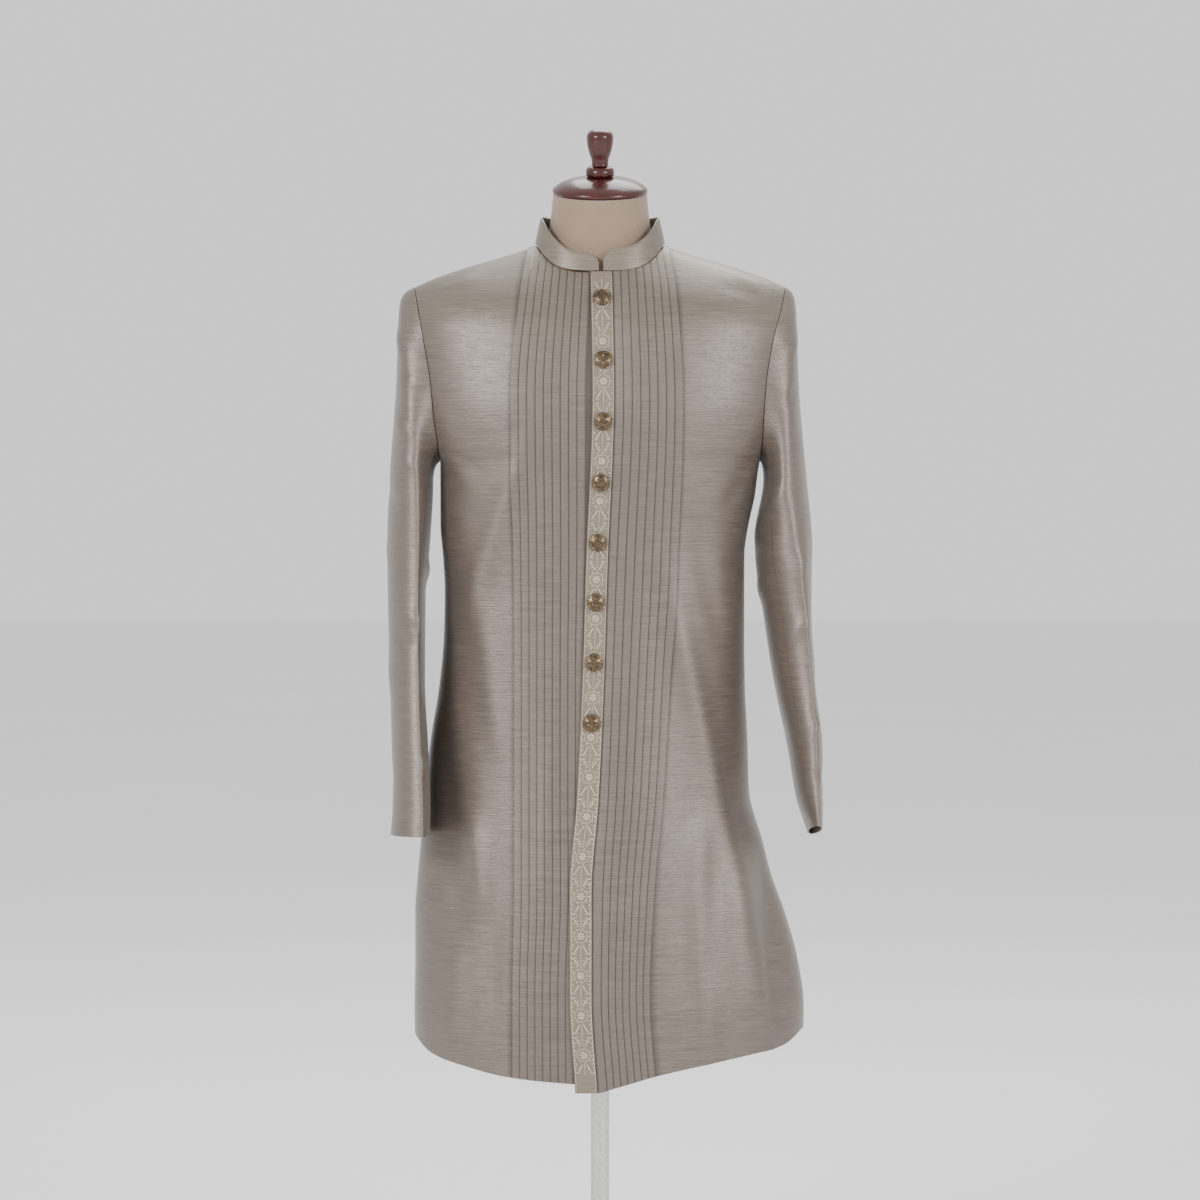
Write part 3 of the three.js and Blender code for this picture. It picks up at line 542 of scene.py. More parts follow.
def make_band(material):
    """Front band from the hem to the neck, crowned across its width."""
    outer, inner = [], []
    top = neck_height("front", 0) - 1.0
    bottom = HEM_HEIGHT + BAND_INSET
    for j in range(BAND_ROWS + 1):
        z = bottom + (top - bottom) * j / BAND_ROWS
        outer_row, inner_row = [], []
        for i in range(BAND_COLUMNS + 1):
            across = i / BAND_COLUMNS
            outer_row.append(band_spot(z, across, band_crown(across))[0])
            inner_row.append(band_spot(z, across, -BAND_THICKNESS)[0])
        outer.append(outer_row)
        inner.append(inner_row)
    return wall_object("front_band_cloth", outer, inner, material)


def collar_spot(angle, share, out):
    """Point of the collar by angle from the middle of the front and share of its height."""
    turn = math.radians(angle)
    face = "front" if math.cos(turn) > 0 else "back"
    x = NECK_SIDE_X * math.sin(turn)
    z = neck_height(face, x)
    sign = -1 if face == "front" else 1
    base = Vector((x, sign * body_depth(face, x, z), z + COLLAR_BASE_GAP))
    side = "left" if angle < 180 else "right"
    tall = along(COLLAR_HEIGHTS, "angle", min(angle, 360 - angle), side)
    from_end = clamp(abs(x) / COLLAR_END_ROUND)
    rounded = math.sqrt(1 - (1 - from_end) ** 2) if face == "front" else 1.0
    lean = 1 - COLLAR_LEAN * share * rounded
    height = share * (tall - COLLAR_BASE_GAP) * rounded
    point = Vector((base.x * lean, base.y * lean, base.z + height))
    if face == "front":
        point.x += COLLAR_NOTCH * (1 - from_end)
    normal = Vector((base.x / NECK_SIDE_X ** 2, base.y / COLLAR_PLAN_DEPTH ** 2, 0)).normalized()
    return point + normal * out


def collar_angles():
    """Angles round the neck from one collar end to the other, closer together near the ends."""
    half = [2 + 178 * (k / COLLAR_HALF_COLUMNS) ** 1.35 for k in range(COLLAR_HALF_COLUMNS + 1)]
    return half + [360 - a for a in reversed(half[:-1])]


def make_collar(material):
    """Stand collar with a soft roll and a thinner top edge."""
    outer, inner = [], []
    for j in range(COLLAR_ROWS + 1):
        share = j / COLLAR_ROWS
        edge = COLLAR_WALL / 2 * (1 - 0.45 * (share > 0.99))
        roll = 0.25 * math.sin(math.pi * share)
        outer.append([collar_spot(a, share, edge + roll) for a in collar_angles()])
        inner.append([collar_spot(a, share, -edge) for a in collar_angles()])
    return wall_object("collar_band", outer, inner, material)


def sleeve_tube(rows, z, turn):
    """Plan of the hanging sleeve: turn runs from the front crease over the outside."""
    crease, fold, out, inside, fore, aft = (
        along(rows, "z", z, c) for c in ("crease", "fold", "out", "in", "fore", "aft"))
    ridge = crease if math.cos(turn) >= 0 else fold
    extreme = out if math.sin(turn) >= 0 else inside
    middle = (fore + aft) / 2
    end = fore if math.cos(turn) >= 0 else aft
    return ridge + (extreme - ridge) * abs(math.sin(turn)), middle + (end - middle) * abs(math.cos(turn))


def armhole_spot(side, turn):
    """Point of the armhole seam that the sleeve's head is set to."""
    reach = SHOULDER_TIP_HEIGHT - ARMHOLE_MIDDLE if math.sin(turn) >= 0 else ARMHOLE_MIDDLE - UNDERARM_HEIGHT
    z = ARMHOLE_MIDDLE + reach * math.sin(turn)
    x = along(ARMHOLE, "z", z, side)
    face = "front" if math.cos(turn) >= 0 else "back"
    sign = -1 if face == "front" else 1
    return x + ARMHOLE_GAP, sign * body_depth(face, x, z), z


def sleeve_fold(side, angle, z):
    """Height of the sleeve's slanting wrinkles at a place."""
    total = 0.0
    for fold in SLEEVE_FOLDS[side]:
        off = (angle - fold["angle"] + 180) % 360 - 180
        slant = z - fold["z"] - 0.35 * off
        total += fold["high"] * math.exp(-(off / fold["wide"]) ** 2 - (slant / fold["tall"]) ** 2)
    return FOLD_STRENGTH * total


def sleeve_grid(side, angles):
    """Rings of points from the armhole seam to the cuff."""
    rows = SLEEVES[side]
    mirror = -1 if side == "right" else 1
    cuff = rows[0]["z"]
    grid = []
    for j in range(SLEEVE_HEAD_ROWS + 1):
        share = j / SLEEVE_HEAD_ROWS
        row = []
        for angle in angles:
            turn = math.radians(angle)
            seam_x, seam_y, seam_z = armhole_spot(side, turn)
            drop = (seam_z - SLEEVE_TUBE_TOP) * share ** 1.8
            start_x, start_y = sleeve_tube(rows, seam_z, turn)
            x, y = sleeve_tube(rows, seam_z - drop, turn)
            reach = 7 + 11 * math.cos(turn) ** 2
            hold = math.exp(-drop / reach) * (1 - share ** 6)
            row.append(Vector((mirror * (x + (seam_x - start_x) * hold),
                               y + (seam_y - start_y) * hold, seam_z - drop)))
        grid.append(row)
    for j in range(1, SLEEVE_TUBE_ROWS + 1):
        share = j / SLEEVE_TUBE_ROWS
        level = SLEEVE_TUBE_TOP + (cuff - SLEEVE_TUBE_TOP) * share
        middle = (along(rows, "z", level, "fore") + along(rows, "z", level, "aft")) / 2
        row = []
        for angle in angles:
            x, y = sleeve_tube(rows, level, math.radians(angle))
            row.append(Vector((mirror * x, y, level - CUFF_TILT[side] * ease(share) * (y - middle))))
        grid.append(row)
    return grid


def ring_normals(grid, mirror):
    """Outward direction at each point of closed rings."""
    rows, columns = len(grid), len(grid[0])
    result = []
    for j, row in enumerate(grid):
        line = []
        for i in range(columns):
            across = row[(i + 1) % columns] - row[i - 1]
            down = grid[min(j + 1, rows - 1)][i] - grid[max(j - 1, 0)][i]
            line.append(across.cross(down).normalized() * mirror)
        result.append(line)
    return result


def make_sleeve(side, material):
    """Upper and under sleeve of one arm."""
    mirror = -1 if side == "left" else 1
    upper, under = UPPER_SLEEVE_COLUMNS, UNDER_SLEEVE_COLUMNS
    angles = [SLEEVE_FRONT_SEAM + (SLEEVE_BACK_SEAM - SLEEVE_FRONT_SEAM) * i / upper for i in range(upper)]
    rest = 360 + SLEEVE_FRONT_SEAM - SLEEVE_BACK_SEAM
    angles += [SLEEVE_BACK_SEAM + rest * i / under for i in range(under)]
    grid = sleeve_grid(side, angles)
    normals = ring_normals(grid, mirror)
    pieces = []
    for name, first, count in (("upper", 0, upper), ("under", upper, under)):
        outer, inner = [], []
        for j, row in enumerate(grid):
            outer_row, inner_row = [], []
            for i in range(count + 1):
                k = (first + i) % len(angles)
                point, normal = row[k].copy(), normals[j][k]
                if i in (0, count):
                    beside = row[(first + (1 if i == 0 else count - 1)) % len(angles)]
                    point += (beside - point).normalized() * SEAM_GAP / 2
                calm = ease(j / 8) * ease((len(grid) - 1 - j) / 5)
                off = sleeve_fold(side, angles[k] % 360, point.z) * calm
                outer_row.append(point + normal * off)
                inner_row.append(point + normal * (off - CLOTH_WALL))
            outer.append(outer_row)
            inner.append(inner_row)
        pieces.append(wall_object(f"sleeve_{name}_{side}_cloth", outer, inner, material))
    return pieces


def turned_object(name, profile, segments, material, place=Matrix()):
    """Solid of revolution about its own +Z, from (radius, height) points."""
    points, faces = [], []
    for radius, height in profile[1:-1]:
        for k in range(segments):
            turn = 2 * math.pi * k / segments
            points.append(place @ Vector((radius * math.cos(turn), radius * math.sin(turn), height)))
    rings = len(profile) - 2
    for j in range(rings - 1):
        for k in range(segments):
            n = (k + 1) % segments
            faces.append((j * segments + k, j * segments + n, (j + 1) * segments + n, (j + 1) * segments + k))
    for j, height in ((0, profile[0][1]), (rings - 1, profile[-1][1])):
        centre = len(points)
        points.append(place @ Vector((0, 0, height)))
        faces += [(centre, j * segments + k, j * segments + (k + 1) % segments) for k in range(segments)]
    obj = mesh_object(name, points, faces, material)
    obj.data.set_sharp_from_angle(angle=math.radians(50))
    return obj


def rounded(profile, radius, steps=5):
    """Profile whose corners between its two ends are cut into soft curves of about one radius."""
    result = [profile[0]]
    for before, here, after in zip(profile, profile[1:], profile[2:]):
        here = Vector(here)
        back, ahead = Vector(before) - here, Vector(after) - here
        start = here + back * min(0.45, radius / back.length)
        end = here + ahead * min(0.45, radius / ahead.length)
        for k in range(steps + 1):
            t = k / steps
            result.append(tuple((1 - t) ** 2 * start + 2 * t * (1 - t) * here + t * t * end))
    result.append(profile[-1])
    return result


def make_form(material):
    """Dress form from the hips to the leaning top of the neck."""
    around = FORM_COLUMNS
    points, faces = [], []
    heights = [FORM_BOTTOM + (NECK_TOP - FORM_BOTTOM) * k / FORM_ROWS for k in range(FORM_ROWS + 1)]
    for z in heights:
        side, front, back = (along(FORM, "z", z, c) for c in ("side", "front", "back"))
        tilt = math.tan(NECK_TILT) * ease((z - 1314) / (NECK_TOP - 1314))
        power = 2 + 0.35 * ease((1300 - z) / 40)
        for k in range(around):
            turn = 2 * math.pi * k / around
            across, ahead = math.sin(turn), math.cos(turn)
            x = side * math.copysign(abs(across) ** (2 / power), across)
            y = -math.copysign((front if ahead > 0 else back) * abs(ahead) ** (2 / power), ahead)
            points.append(Vector((x, y, z + tilt * (y + NECK_LEAN))))
    for j in range(len(heights) - 1):
        for k in range(around):
            n = (k + 1) % around
            faces.append((j * around + k, j * around + n, (j + 1) * around + n, (j + 1) * around + k))
    faces.append(tuple(range(around - 1, -1, -1)))
    faces.append(tuple((len(heights) - 1) * around + k for k in range(around)))
    obj = mesh_object("form_body", points, faces, material)
    obj.data.set_sharp_from_angle(angle=math.radians(50))
    return obj


# Materials: every one is made of nodes, at the scale of the real weave, grain or polish.

class Finish:
    """A material's node tree, with short calls to add and join its nodes."""

    def __init__(self, name, **shader):
        self.material = bpy.data.materials.new(name)
        self.material.use_nodes = True
        self.tree = self.material.node_tree
        self.shader = self.tree.nodes["Principled BSDF"]
        for socket, value in shader.items():
            self.shader.inputs[socket.replace("_", " ")].default_value = value
        self.place = self.add("TexCoord").outputs["Object"]

    def add(self, kind, links=(), settings=(), **sockets):
        made = self.tree.nodes.new("ShaderNode" + kind)
        for key, value in dict(settings).items():
            setattr(made, key, value)
        for key, value in sockets.items():
            made.inputs[key.replace("_", " ")].default_value = value
        for key, source in dict(links).items():
            self.tree.links.new(source, made.inputs[key])
        return made

    def noise(self, stretch, detail=3.0, rough=0.55):
        """Noise whose grain per metre along X, Y and Z is the stretch."""
        mapped = self.add("Mapping", {"Vector": self.place}, Scale=stretch).outputs["Vector"]
        made = self.add("TexNoise", {"Vector": mapped}, Scale=1.0, Detail=detail, Roughness=rough)
        return made.outputs["Fac"]

    def ramp(self, value, *stops):
        made = self.add("ValToRGB", {"Fac": value})
        elements = made.color_ramp.elements
        while len(elements) < len(stops):
            elements.new(0.5)
        for element, (place, colour) in zip(elements, stops):
            element.position = place
            element.color = (*colour, 1)
        return made.outputs["Color"]

    def mix(self, share, first, second, kind="MIX"):
        made = self.add("Mix", settings={"data_type": "RGBA", "blend_type": kind})
        factor, a, b = made.inputs[0], made.inputs[6], made.inputs[7]
        for socket, value in ((factor, share), (a, first), (b, second)):
            if isinstance(value, bpy.types.NodeSocket):
                self.tree.links.new(value, socket)
            else:
                socket.default_value = value if isinstance(value, float) else (*value, 1)
        return made.outputs[2]

    def spread(self, value, low, high, to_low=0.0, to_high=1.0):
        made = self.add("MapRange", {"Value": value})
        made.inputs["From Min"].default_value = low
        made.inputs["From Max"].default_value = high
        made.inputs["To Min"].default_value = to_low
        made.inputs["To Max"].default_value = to_high
        return made.outputs["Result"]

    def colour(self, value):
        self.tree.links.new(value, self.shader.inputs["Base Color"])

    def rough(self, value):
        self.tree.links.new(value, self.shader.inputs["Roughness"])

    def bump(self, *layers):
        """Stack of (height, strength, distance in metres) bumps."""
        normal = None
        for height, strength, distance in layers:
            links = {"Height": height}
            if normal is not None:
                links["Normal"] = normal
            normal = self.add("Bump", links, Strength=strength, Distance=distance).outputs["Normal"]
        self.tree.links.new(normal, self.shader.inputs["Normal"])


def shade(colour, gain):
    """A colour made darker or lighter, kept within white."""
    return tuple(min(1.0, c * gain) for c in colour)


def silk_finish(name, colour, warm_top_light, slub):
    """Slubbed silk: uneven weft lines across a smooth warp, with a soft satin lustre, painted shade along the
    tuck grooves and a painted warm light over the shoulders.
    """
    f = Finish(name, Metallic=0.42, Roughness=0.36, Sheen_Weight=0.15, Sheen_Roughness=0.35,
               Specular_IOR_Level=0.6, Anisotropic=0.3)
    weft = f.noise((26, 26, 1100), 4)
    thread = f.noise((110, 110, 3600), 2)
    warp = f.noise((3200, 1800, 60), 2)
    cloud = f.noise((5, 5, 4), 2)
    base = f.ramp(weft, (0.3, shade(colour, 0.6)), (0.5, colour), (0.7, shade(colour, 1.5)))
    base = f.mix(0.35, base, f.ramp(thread, (0.3, shade(colour, 0.7)), (0.7, shade(colour, 1.3))))
    base = f.mix(0.22, base, f.ramp(cloud, (0.35, shade(colour, 0.85)), (0.65, shade(colour, 1.15))))
    # Painted light: from 1.18 m up the silk turns towards a warmer, lighter colour, standing in for the top
    # light on the shoulders.
    height = f.add("SeparateXYZ", {"Vector": f.place}).outputs["Z"]
    base = f.mix(f.spread(height, 1.18, 1.31, 0.0, 0.6), base, f.mix(0.5, base, warm_top_light))
    # Painted shade: along the tuck grooves the silk darkens towards 0.3 of its colour, standing in for the
    # shadow under each fold edge.
    tuck_shade = f.add("Attribute", settings={"attribute_name": "tuck_shade"}).outputs["Fac"]
    f.colour(f.mix(f.spread(tuck_shade, 0.0, 1.0, 0.0, 0.8), base, shade(colour, 0.3)))
    f.rough(f.spread(weft, 0.3, 0.7, 0.3, 0.44))
    f.bump((weft, slub, 0.0005), (thread, 0.3, 0.00025), (warp, 0.16, 0.00015))
    return f.material


def ground_finish(name, colour):
    """Close plain weave under the needlework."""
    f = Finish(name, Roughness=0.58, Sheen_Weight=0.25, Sheen_Roughness=0.4)
    weft = f.noise((60, 60, 1600), 3)
    warp = f.noise((2200, 1600, 120), 3)
    base = f.ramp(weft, (0.3, shade(colour, 0.75)), (0.7, shade(colour, 1.25)))
    f.colour(f.mix(0.3, base, f.ramp(warp, (0.3, shade(colour, 0.75)), (0.7, shade(colour, 1.2)))))
    f.bump((weft, 0.45, 0.0004), (warp, 0.3, 0.0003))
    return f.material


def thread_finish(name, colour):
    """Twisted thread laid in satin stitches."""
    f = Finish(name, Roughness=0.45, Sheen_Weight=0.3, Sheen_Roughness=0.35)
    strand = f.noise((1500, 1500, 2600), 3)
    tone = f.noise((160, 160, 160), 2)
    base = f.ramp(strand, (0.3, shade(colour, 0.6)), (0.68, shade(colour, 1.2)))
    f.colour(f.mix(0.4, base, f.ramp(tone, (0.35, shade(colour, 0.7)), (0.65, shade(colour, 1.1)))))
    f.bump((strand, 0.6, 0.0004))
    return f.material


def metal_finish(name, colour, roughness, worn):
    """Cast or turned metal, darker and rougher in random patches."""
    f = Finish(name, Metallic=1.0, Roughness=roughness)
    patch = f.noise((420, 420, 420), 4)
    fine = f.noise((1800, 1800, 1800), 3)
    f.colour(f.ramp(patch, (0.34, shade(colour, worn)), (0.62, colour)))
    f.rough(f.spread(patch, 0.3, 0.7, roughness + 0.14, roughness - 0.04))
    f.bump((patch, 0.25, 0.0003), (fine, 0.15, 0.0001))
    return f.material


def wood_finish(name, dark, light):
    """Polished reddish wood with a fine straight grain under a clear coat."""
    f = Finish(name, Roughness=0.3, Coat_Weight=0.25, Coat_Roughness=0.08, Specular_IOR_Level=0.35)
    grain = f.noise((38, 240, 30), 5, 0.6)
    pore = f.noise((260, 1500, 160), 3)
    base = f.ramp(grain, (0.3, dark), (0.52, shade(light, 0.75)), (0.7, light))
    f.colour(f.mix(0.3, base, f.ramp(pore, (0.35, shade(dark, 0.6)), (0.6, light))))
    f.rough(f.spread(grain, 0.3, 0.7, 0.36, 0.22))
    f.bump((pore, 0.12, 0.0002))
    return f.material


def jersey_finish(name, colour):
    """Fine knitted cover stretched over the form."""
    f = Finish(name, Roughness=0.82, Sheen_Weight=0.3, Sheen_Roughness=0.5)
    rib = f.noise((1500, 1500, 420), 3)
    cloud = f.noise((14, 14, 10), 3)
    base = f.ramp(rib, (0.3, shade(colour, 0.78)), (0.7, shade(colour, 1.16)))
    f.colour(f.mix(0.3, base, f.ramp(cloud, (0.35, shade(colour, 0.84)), (0.65, shade(colour, 1.12)))))
    f.bump((rib, 0.45, 0.0004), (cloud, 0.1, 0.001))
    return f.material


def floor_finish(name, colour):
    """Matt pale studio floor."""
    f = Finish(name, Roughness=0.85)
    cloud = f.noise((1.2, 1.2, 1.2), 3)
    f.colour(f.ramp(cloud, (0.3, shade(colour, 0.98)), (0.7, colour)))
    return f.material


# Needlework and buttons.

def dome(points, faces, place, reach, wide, high, turn=0.0, around=8):
    """Small domed stitch or bead, laid through a function from (across, up, rise) to a point."""
    first = len(points)
    for ring, rise in ((1.0, 0.0), (0.72, 0.7)):
        for k in range(around):
            a = 2 * math.pi * k / around
            u, v = reach * ring * math.cos(a), wide * ring * math.sin(a)
            points.append(place(u * math.cos(turn) - v * math.sin(turn),
                                u * math.sin(turn) + v * math.cos(turn), high * rise))
    points.append(place(0, 0, high))
    points.append(place(0, 0, 0))
    for k in range(around):
        n = (k + 1) % around
        a, b = first + k, first + n
        faces.append((a, b, b + around, a + around))
        faces.append((a + around, b + around, first + 2 * around))
        faces.append((b, a, first + 2 * around + 1))


def motif_stitches(dense):
    """Stitches of one repeat as (across, up, reach, wide, turn), and its beads as (across, up, radius)."""
    stitches, beads = [], []
    for k in range(8):
        a = 2 * math.pi * k / 8
        stitches.append((3.1 * math.cos(a), 3.1 * math.sin(a), 2.0, 0.95, a))
    for k in range(18):
        a = 2 * math.pi * k / 18
        stitches.append((7.4 * math.cos(a), 7.4 * math.sin(a), 1.25, 0.6, a + math.pi / 2 + 0.35))
        if k % 2 == 0:
            beads.append((9.3 * math.cos(a), 9.3 * math.sin(a), 0.62))
    beads.append((0, 0, 1.0))
    for hand in (-1, 1):
        for lift in (-1, 1):
            for k in range(4):
                a = math.pi / 2 * lift + hand * (0.5 + 0.16 * k)
                reach = 12.4 + 2.6 * k
                stitches.append((hand * (3.2 + 1.5 * k), lift * reach, 2.3 - 0.2 * k, 0.8, a))
            beads.append((hand * 9.4, lift * 13.6, 0.6))
            beads.append((hand * 5.4, lift * 21.0, 0.55))
    for k in range(5):
        stitches.append((0.0, 11.4 + 3.1 * k, 1.4, 0.55, math.pi / 2))
        stitches.append((0.0, -11.4 - 2.6 * k, 1.4, 0.55, math.pi / 2))
    if dense:
        for hand in (-1, 1):
            for k in range(9):
                up = -20 + 5 * k
                stitches.append((hand * (10.4 + 0.7 * math.sin(k * 2.1)), up, 1.9, 0.7, hand * 0.8))
                beads.append((hand * 11.5, up + 2.4, 0.5))
            for k in range(4):
                beads.append((hand * (2.2 + 1.8 * k), 17.5 - 0.9 * k, 0.5))
    return stitches, beads


def make_needlework(thread, sequin, pitch, hand_error):
    """Raised stitches and sequins on the band, one repeat after another from the neck to the hem."""
    wobble = random.Random(7)
    stitch_mesh, bead_mesh = ([], []), ([], [])
    half = (BAND_WIDTH - 2 * BAND_INSET) / 2
    middle = MOTIF_TOP - pitch / 2
    while middle > HEM_HEIGHT + pitch / 2:
        stitches, beads = motif_stitches(middle < DENSE_BELOW)

        def placer(across, up):
            across += wobble.uniform(-hand_error, hand_error)
            up += wobble.uniform(-hand_error, hand_error)

            def place(u, v, rise):
                share = 0.5 + max(-half + 0.5, min(half - 0.5, across + u)) / (2 * half)
                return band_spot(middle + up + v, share, band_crown(share) - 0.05 + rise)[0]
            return place
        for across, up, reach, wide, turn in stitches:
            dome(*stitch_mesh, placer(across, up), reach, wide, 0.75, turn)
        for across, up, radius in beads:
            dome(*bead_mesh, placer(across, up), radius, radius, 0.45, 0, 6)
        middle -= pitch
    for hand in (-1, 1):
        up = HEM_HEIGHT + 4
        while up < MOTIF_TOP + 6:
            def edge_place(u, v, rise, height=up, edge=hand):
                share = 0.5 + edge * 0.46 + u / (2 * half)
                return band_spot(height + v, min(1, max(0, share)), rise - 0.2)[0]
            dome(*stitch_mesh, edge_place, 0.5, 1.5, 0.45, 0, 6)
            up += 3.4
    stitched = mesh_object("band_needlework", *stitch_mesh, thread)
    beaded = mesh_object("band_sequins", *bead_mesh, sequin, smooth=False)
    return stitched, beaded


def make_button(index, material):
    """Turned button with a faceted rim, a ring of beads and a petalled crown."""
    height = BUTTON_TOP_HEIGHT - index * BUTTON_PITCH
    point, normal = band_spot(height, 0.5, SEAM_GAP + BUTTON_SHANK)
    place = Matrix.Translation(point) @ normal.to_track_quat("Z", "Y").to_matrix().to_4x4()
    r, h = BUTTON_RADIUS, BUTTON_HEIGHT
    outline = [(0, 0), (r * 0.5, 0), (r * 0.97, h * 0.28), (r * 0.97, h * 0.5), (r * 0.84, h * 0.62),
               (r * 0.78, h * 0.52), (r * 0.62, h * 0.66), (r * 0.38, h * 0.84), (0, h * 0.88)]
    profile = rounded(outline, 0.7, 3)
    points, faces = [], []
    segments = RIM_FACETS * 3
    for radius, level in profile[1:-1]:
        for k in range(segments):
            facet = 1 + 0.03 * (radius / r) ** 6 * math.cos(RIM_FACETS * 2 * math.pi * k / segments)
            turn = 2 * math.pi * k / segments
            reach = radius * facet
            points.append(place @ Vector((reach * math.cos(turn), reach * math.sin(turn), level)))
    rings = len(profile) - 2
    for j in range(rings - 1):
        for k in range(segments):
            n = (k + 1) % segments
            faces.append((j * segments + k, j * segments + n, (j + 1) * segments + n, (j + 1) * segments + k))
    for ring, level in ((0, 0.0), (rings - 1, h * 0.88)):
        centre = len(points)
        points.append(place @ Vector((0, 0, level)))
        start = ring * segments
        faces += [(centre, start + k, start + (k + 1) % segments) for k in range(segments)]

    def crown(radius, turn, level):
        def lay(u, v, rise):
            x = radius * math.cos(turn) + u * math.cos(turn) - v * math.sin(turn)
            y = radius * math.sin(turn) + u * math.sin(turn) + v * math.cos(turn)
            return place @ Vector((x, y, level + rise))
        return lay
    for k in range(RIM_FACETS):
        dome(points, faces, crown(r * 0.8, 2 * math.pi * k / RIM_FACETS, h * 0.5), 0.8, 0.95, 0.9, 0, 6)
    for k in range(8):
        dome(points, faces, crown(r * 0.4, 2 * math.pi * k / 8, h * 0.78), 2.6, 1.25, 0.9)
    dome(points, faces, crown(0, 0, h * 0.82), 1.5, 1.5, 1.05)
    return mesh_object(f"button_{index + 1}_cast", points, faces, material, smooth=False)


def neck_place(height):
    """Place of a turned piece on the leaning top of the neck."""
    lean = Matrix.Translation((0, -NECK_LEAN, NECK_TOP)) @ Matrix.Rotation(NECK_TILT, 4, "X")
    return lean @ Matrix.Translation((0, 0, height))


def make_neck_top(wood):
    """Turned cap, ring and finial, each with the node that it stands for."""
    cap = rounded([(0, 0), (CAP_RADIUS - 2, 0), (CAP_RADIUS, 2), (CAP_RADIUS, 5), (CAP_RADIUS - 2.5, 8),
                   (CAP_RADIUS * 0.82, 13), (CAP_RADIUS * 0.6, 17.5), (CAP_RADIUS * 0.36, CAP_HEIGHT),
                   (0, CAP_HEIGHT)], 8)
    ring = rounded([(0, 0), (15.5, 0), (17, 3), (17, 8), (14, RING_HEIGHT), (0, RING_HEIGHT)], 2.5)
    knob = rounded([(0, 0), (10.5, 0), (9.6, 4), (10.4, 9), (13, 16), (15, 24), (16, 33), (15.6, 38),
                    (12, 42), (6, 44), (0, 44.5)], 5)
    return [
        (turned_object("cap_turned", cap, 128, wood, neck_place(SEAM_GAP)), "neck_cap"),
        (turned_object("ring_turned", ring, 80, wood, neck_place(CAP_HEIGHT + 2 * SEAM_GAP)), "cap_ring"),
        (turned_object("finial_turned", knob, 80, wood,
                       neck_place(CAP_HEIGHT + RING_HEIGHT + 3 * SEAM_GAP)), "finial"),
    ]


def make_stand(wood, steel):
    """Post and round base, each with the node that it stands for."""
    foot = BASE_THICKNESS + SEAM_GAP
    length = FORM_BOTTOM - SEAM_GAP - foot
    collar = 26.0
    post = rounded([(0, 0), (POST_RADIUS, 0), (POST_RADIUS, collar), (POST_RADIUS - 1.4, collar + 3),
                    (POST_RADIUS - 1.4, length - 4), (POST_RADIUS, length - 2), (POST_RADIUS, length),
                    (0, length)], 1.2)
    base = rounded([(0, 0), (BASE_RADIUS - 2, 0), (BASE_RADIUS, 2), (BASE_RADIUS, BASE_THICKNESS - 8),
                    (BASE_RADIUS - 6, BASE_THICKNESS - 3), (BASE_RADIUS - 14, BASE_THICKNESS),
                    (0, BASE_THICKNESS)], 3)
    lift = Matrix.Translation((0, 0, foot))
    return [
        (turned_object("post_turned", post, 64, steel, lift), "stand_post"),
        (turned_object("base_turned", base, 160, wood), "stand_base"),
    ]


def settle(obj, slot, *nodes):
    """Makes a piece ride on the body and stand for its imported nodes."""
    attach(obj, "root")
    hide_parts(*nodes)
    return obj


class SherwaniColours(bpy.types.PropertyGroup):
    """Colours of the cloth, the needlework, the form and the stage"""
    silk: bpy.props.FloatVectorProperty(name="Silk", description="Colour of the slubbed silk",
        subtype="COLOR", size=3, min=0, max=1, default=(0.135, 0.109, 0.09))
    # Painted light: the warmer, lighter colour that the silk takes on over the shoulders, standing in for the
    # top light.
    shoulder: bpy.props.FloatVectorProperty(name="Shoulder tint", description="Warm cast on the shoulders",
        subtype="COLOR", size=3, min=0, max=1, default=(0.24, 0.207, 0.14))
    ground: bpy.props.FloatVectorProperty(name="Band", description="Ground cloth under the needlework",
        subtype="COLOR", size=3, min=0, max=1, default=(0.15, 0.12, 0.09))
    thread: bpy.props.FloatVectorProperty(name="Thread", description="Cream thread of the needlework",
        subtype="COLOR", size=3, min=0, max=1, default=(0.52, 0.44, 0.32))
    sequin: bpy.props.FloatVectorProperty(name="Sequins", description="Colour of the sequins",
        subtype="COLOR", size=3, min=0, max=1, default=(0.8, 0.66, 0.42))
    button: bpy.props.FloatVectorProperty(name="Buttons", description="Colour of the cast buttons",
        subtype="COLOR", size=3, min=0, max=1, default=(0.15, 0.11, 0.07))
    jersey: bpy.props.FloatVectorProperty(name="Jersey", description="Cover of the dress form",
        subtype="COLOR", size=3, min=0, max=1, default=(0.24, 0.165, 0.112))
    wood_dark: bpy.props.FloatVectorProperty(name="Wood, dark", description="Dark grain of the wood",
        subtype="COLOR", size=3, min=0, max=1, default=(0.018, 0.003, 0.003))
    wood_light: bpy.props.FloatVectorProperty(name="Wood, light", description="Light grain of the wood",
        subtype="COLOR", size=3, min=0, max=1, default=(0.06, 0.009, 0.006))
    steel: bpy.props.FloatVectorProperty(name="Post", description="Colour of the stand's post",
        subtype="COLOR", size=3, min=0, max=1, default=(0.6, 0.6, 0.59))
    floor: bpy.props.FloatVectorProperty(name="Floor", description="Colour of the studio floor",
        subtype="COLOR", size=3, min=0, max=1, default=(0.9, 0.9, 0.89))


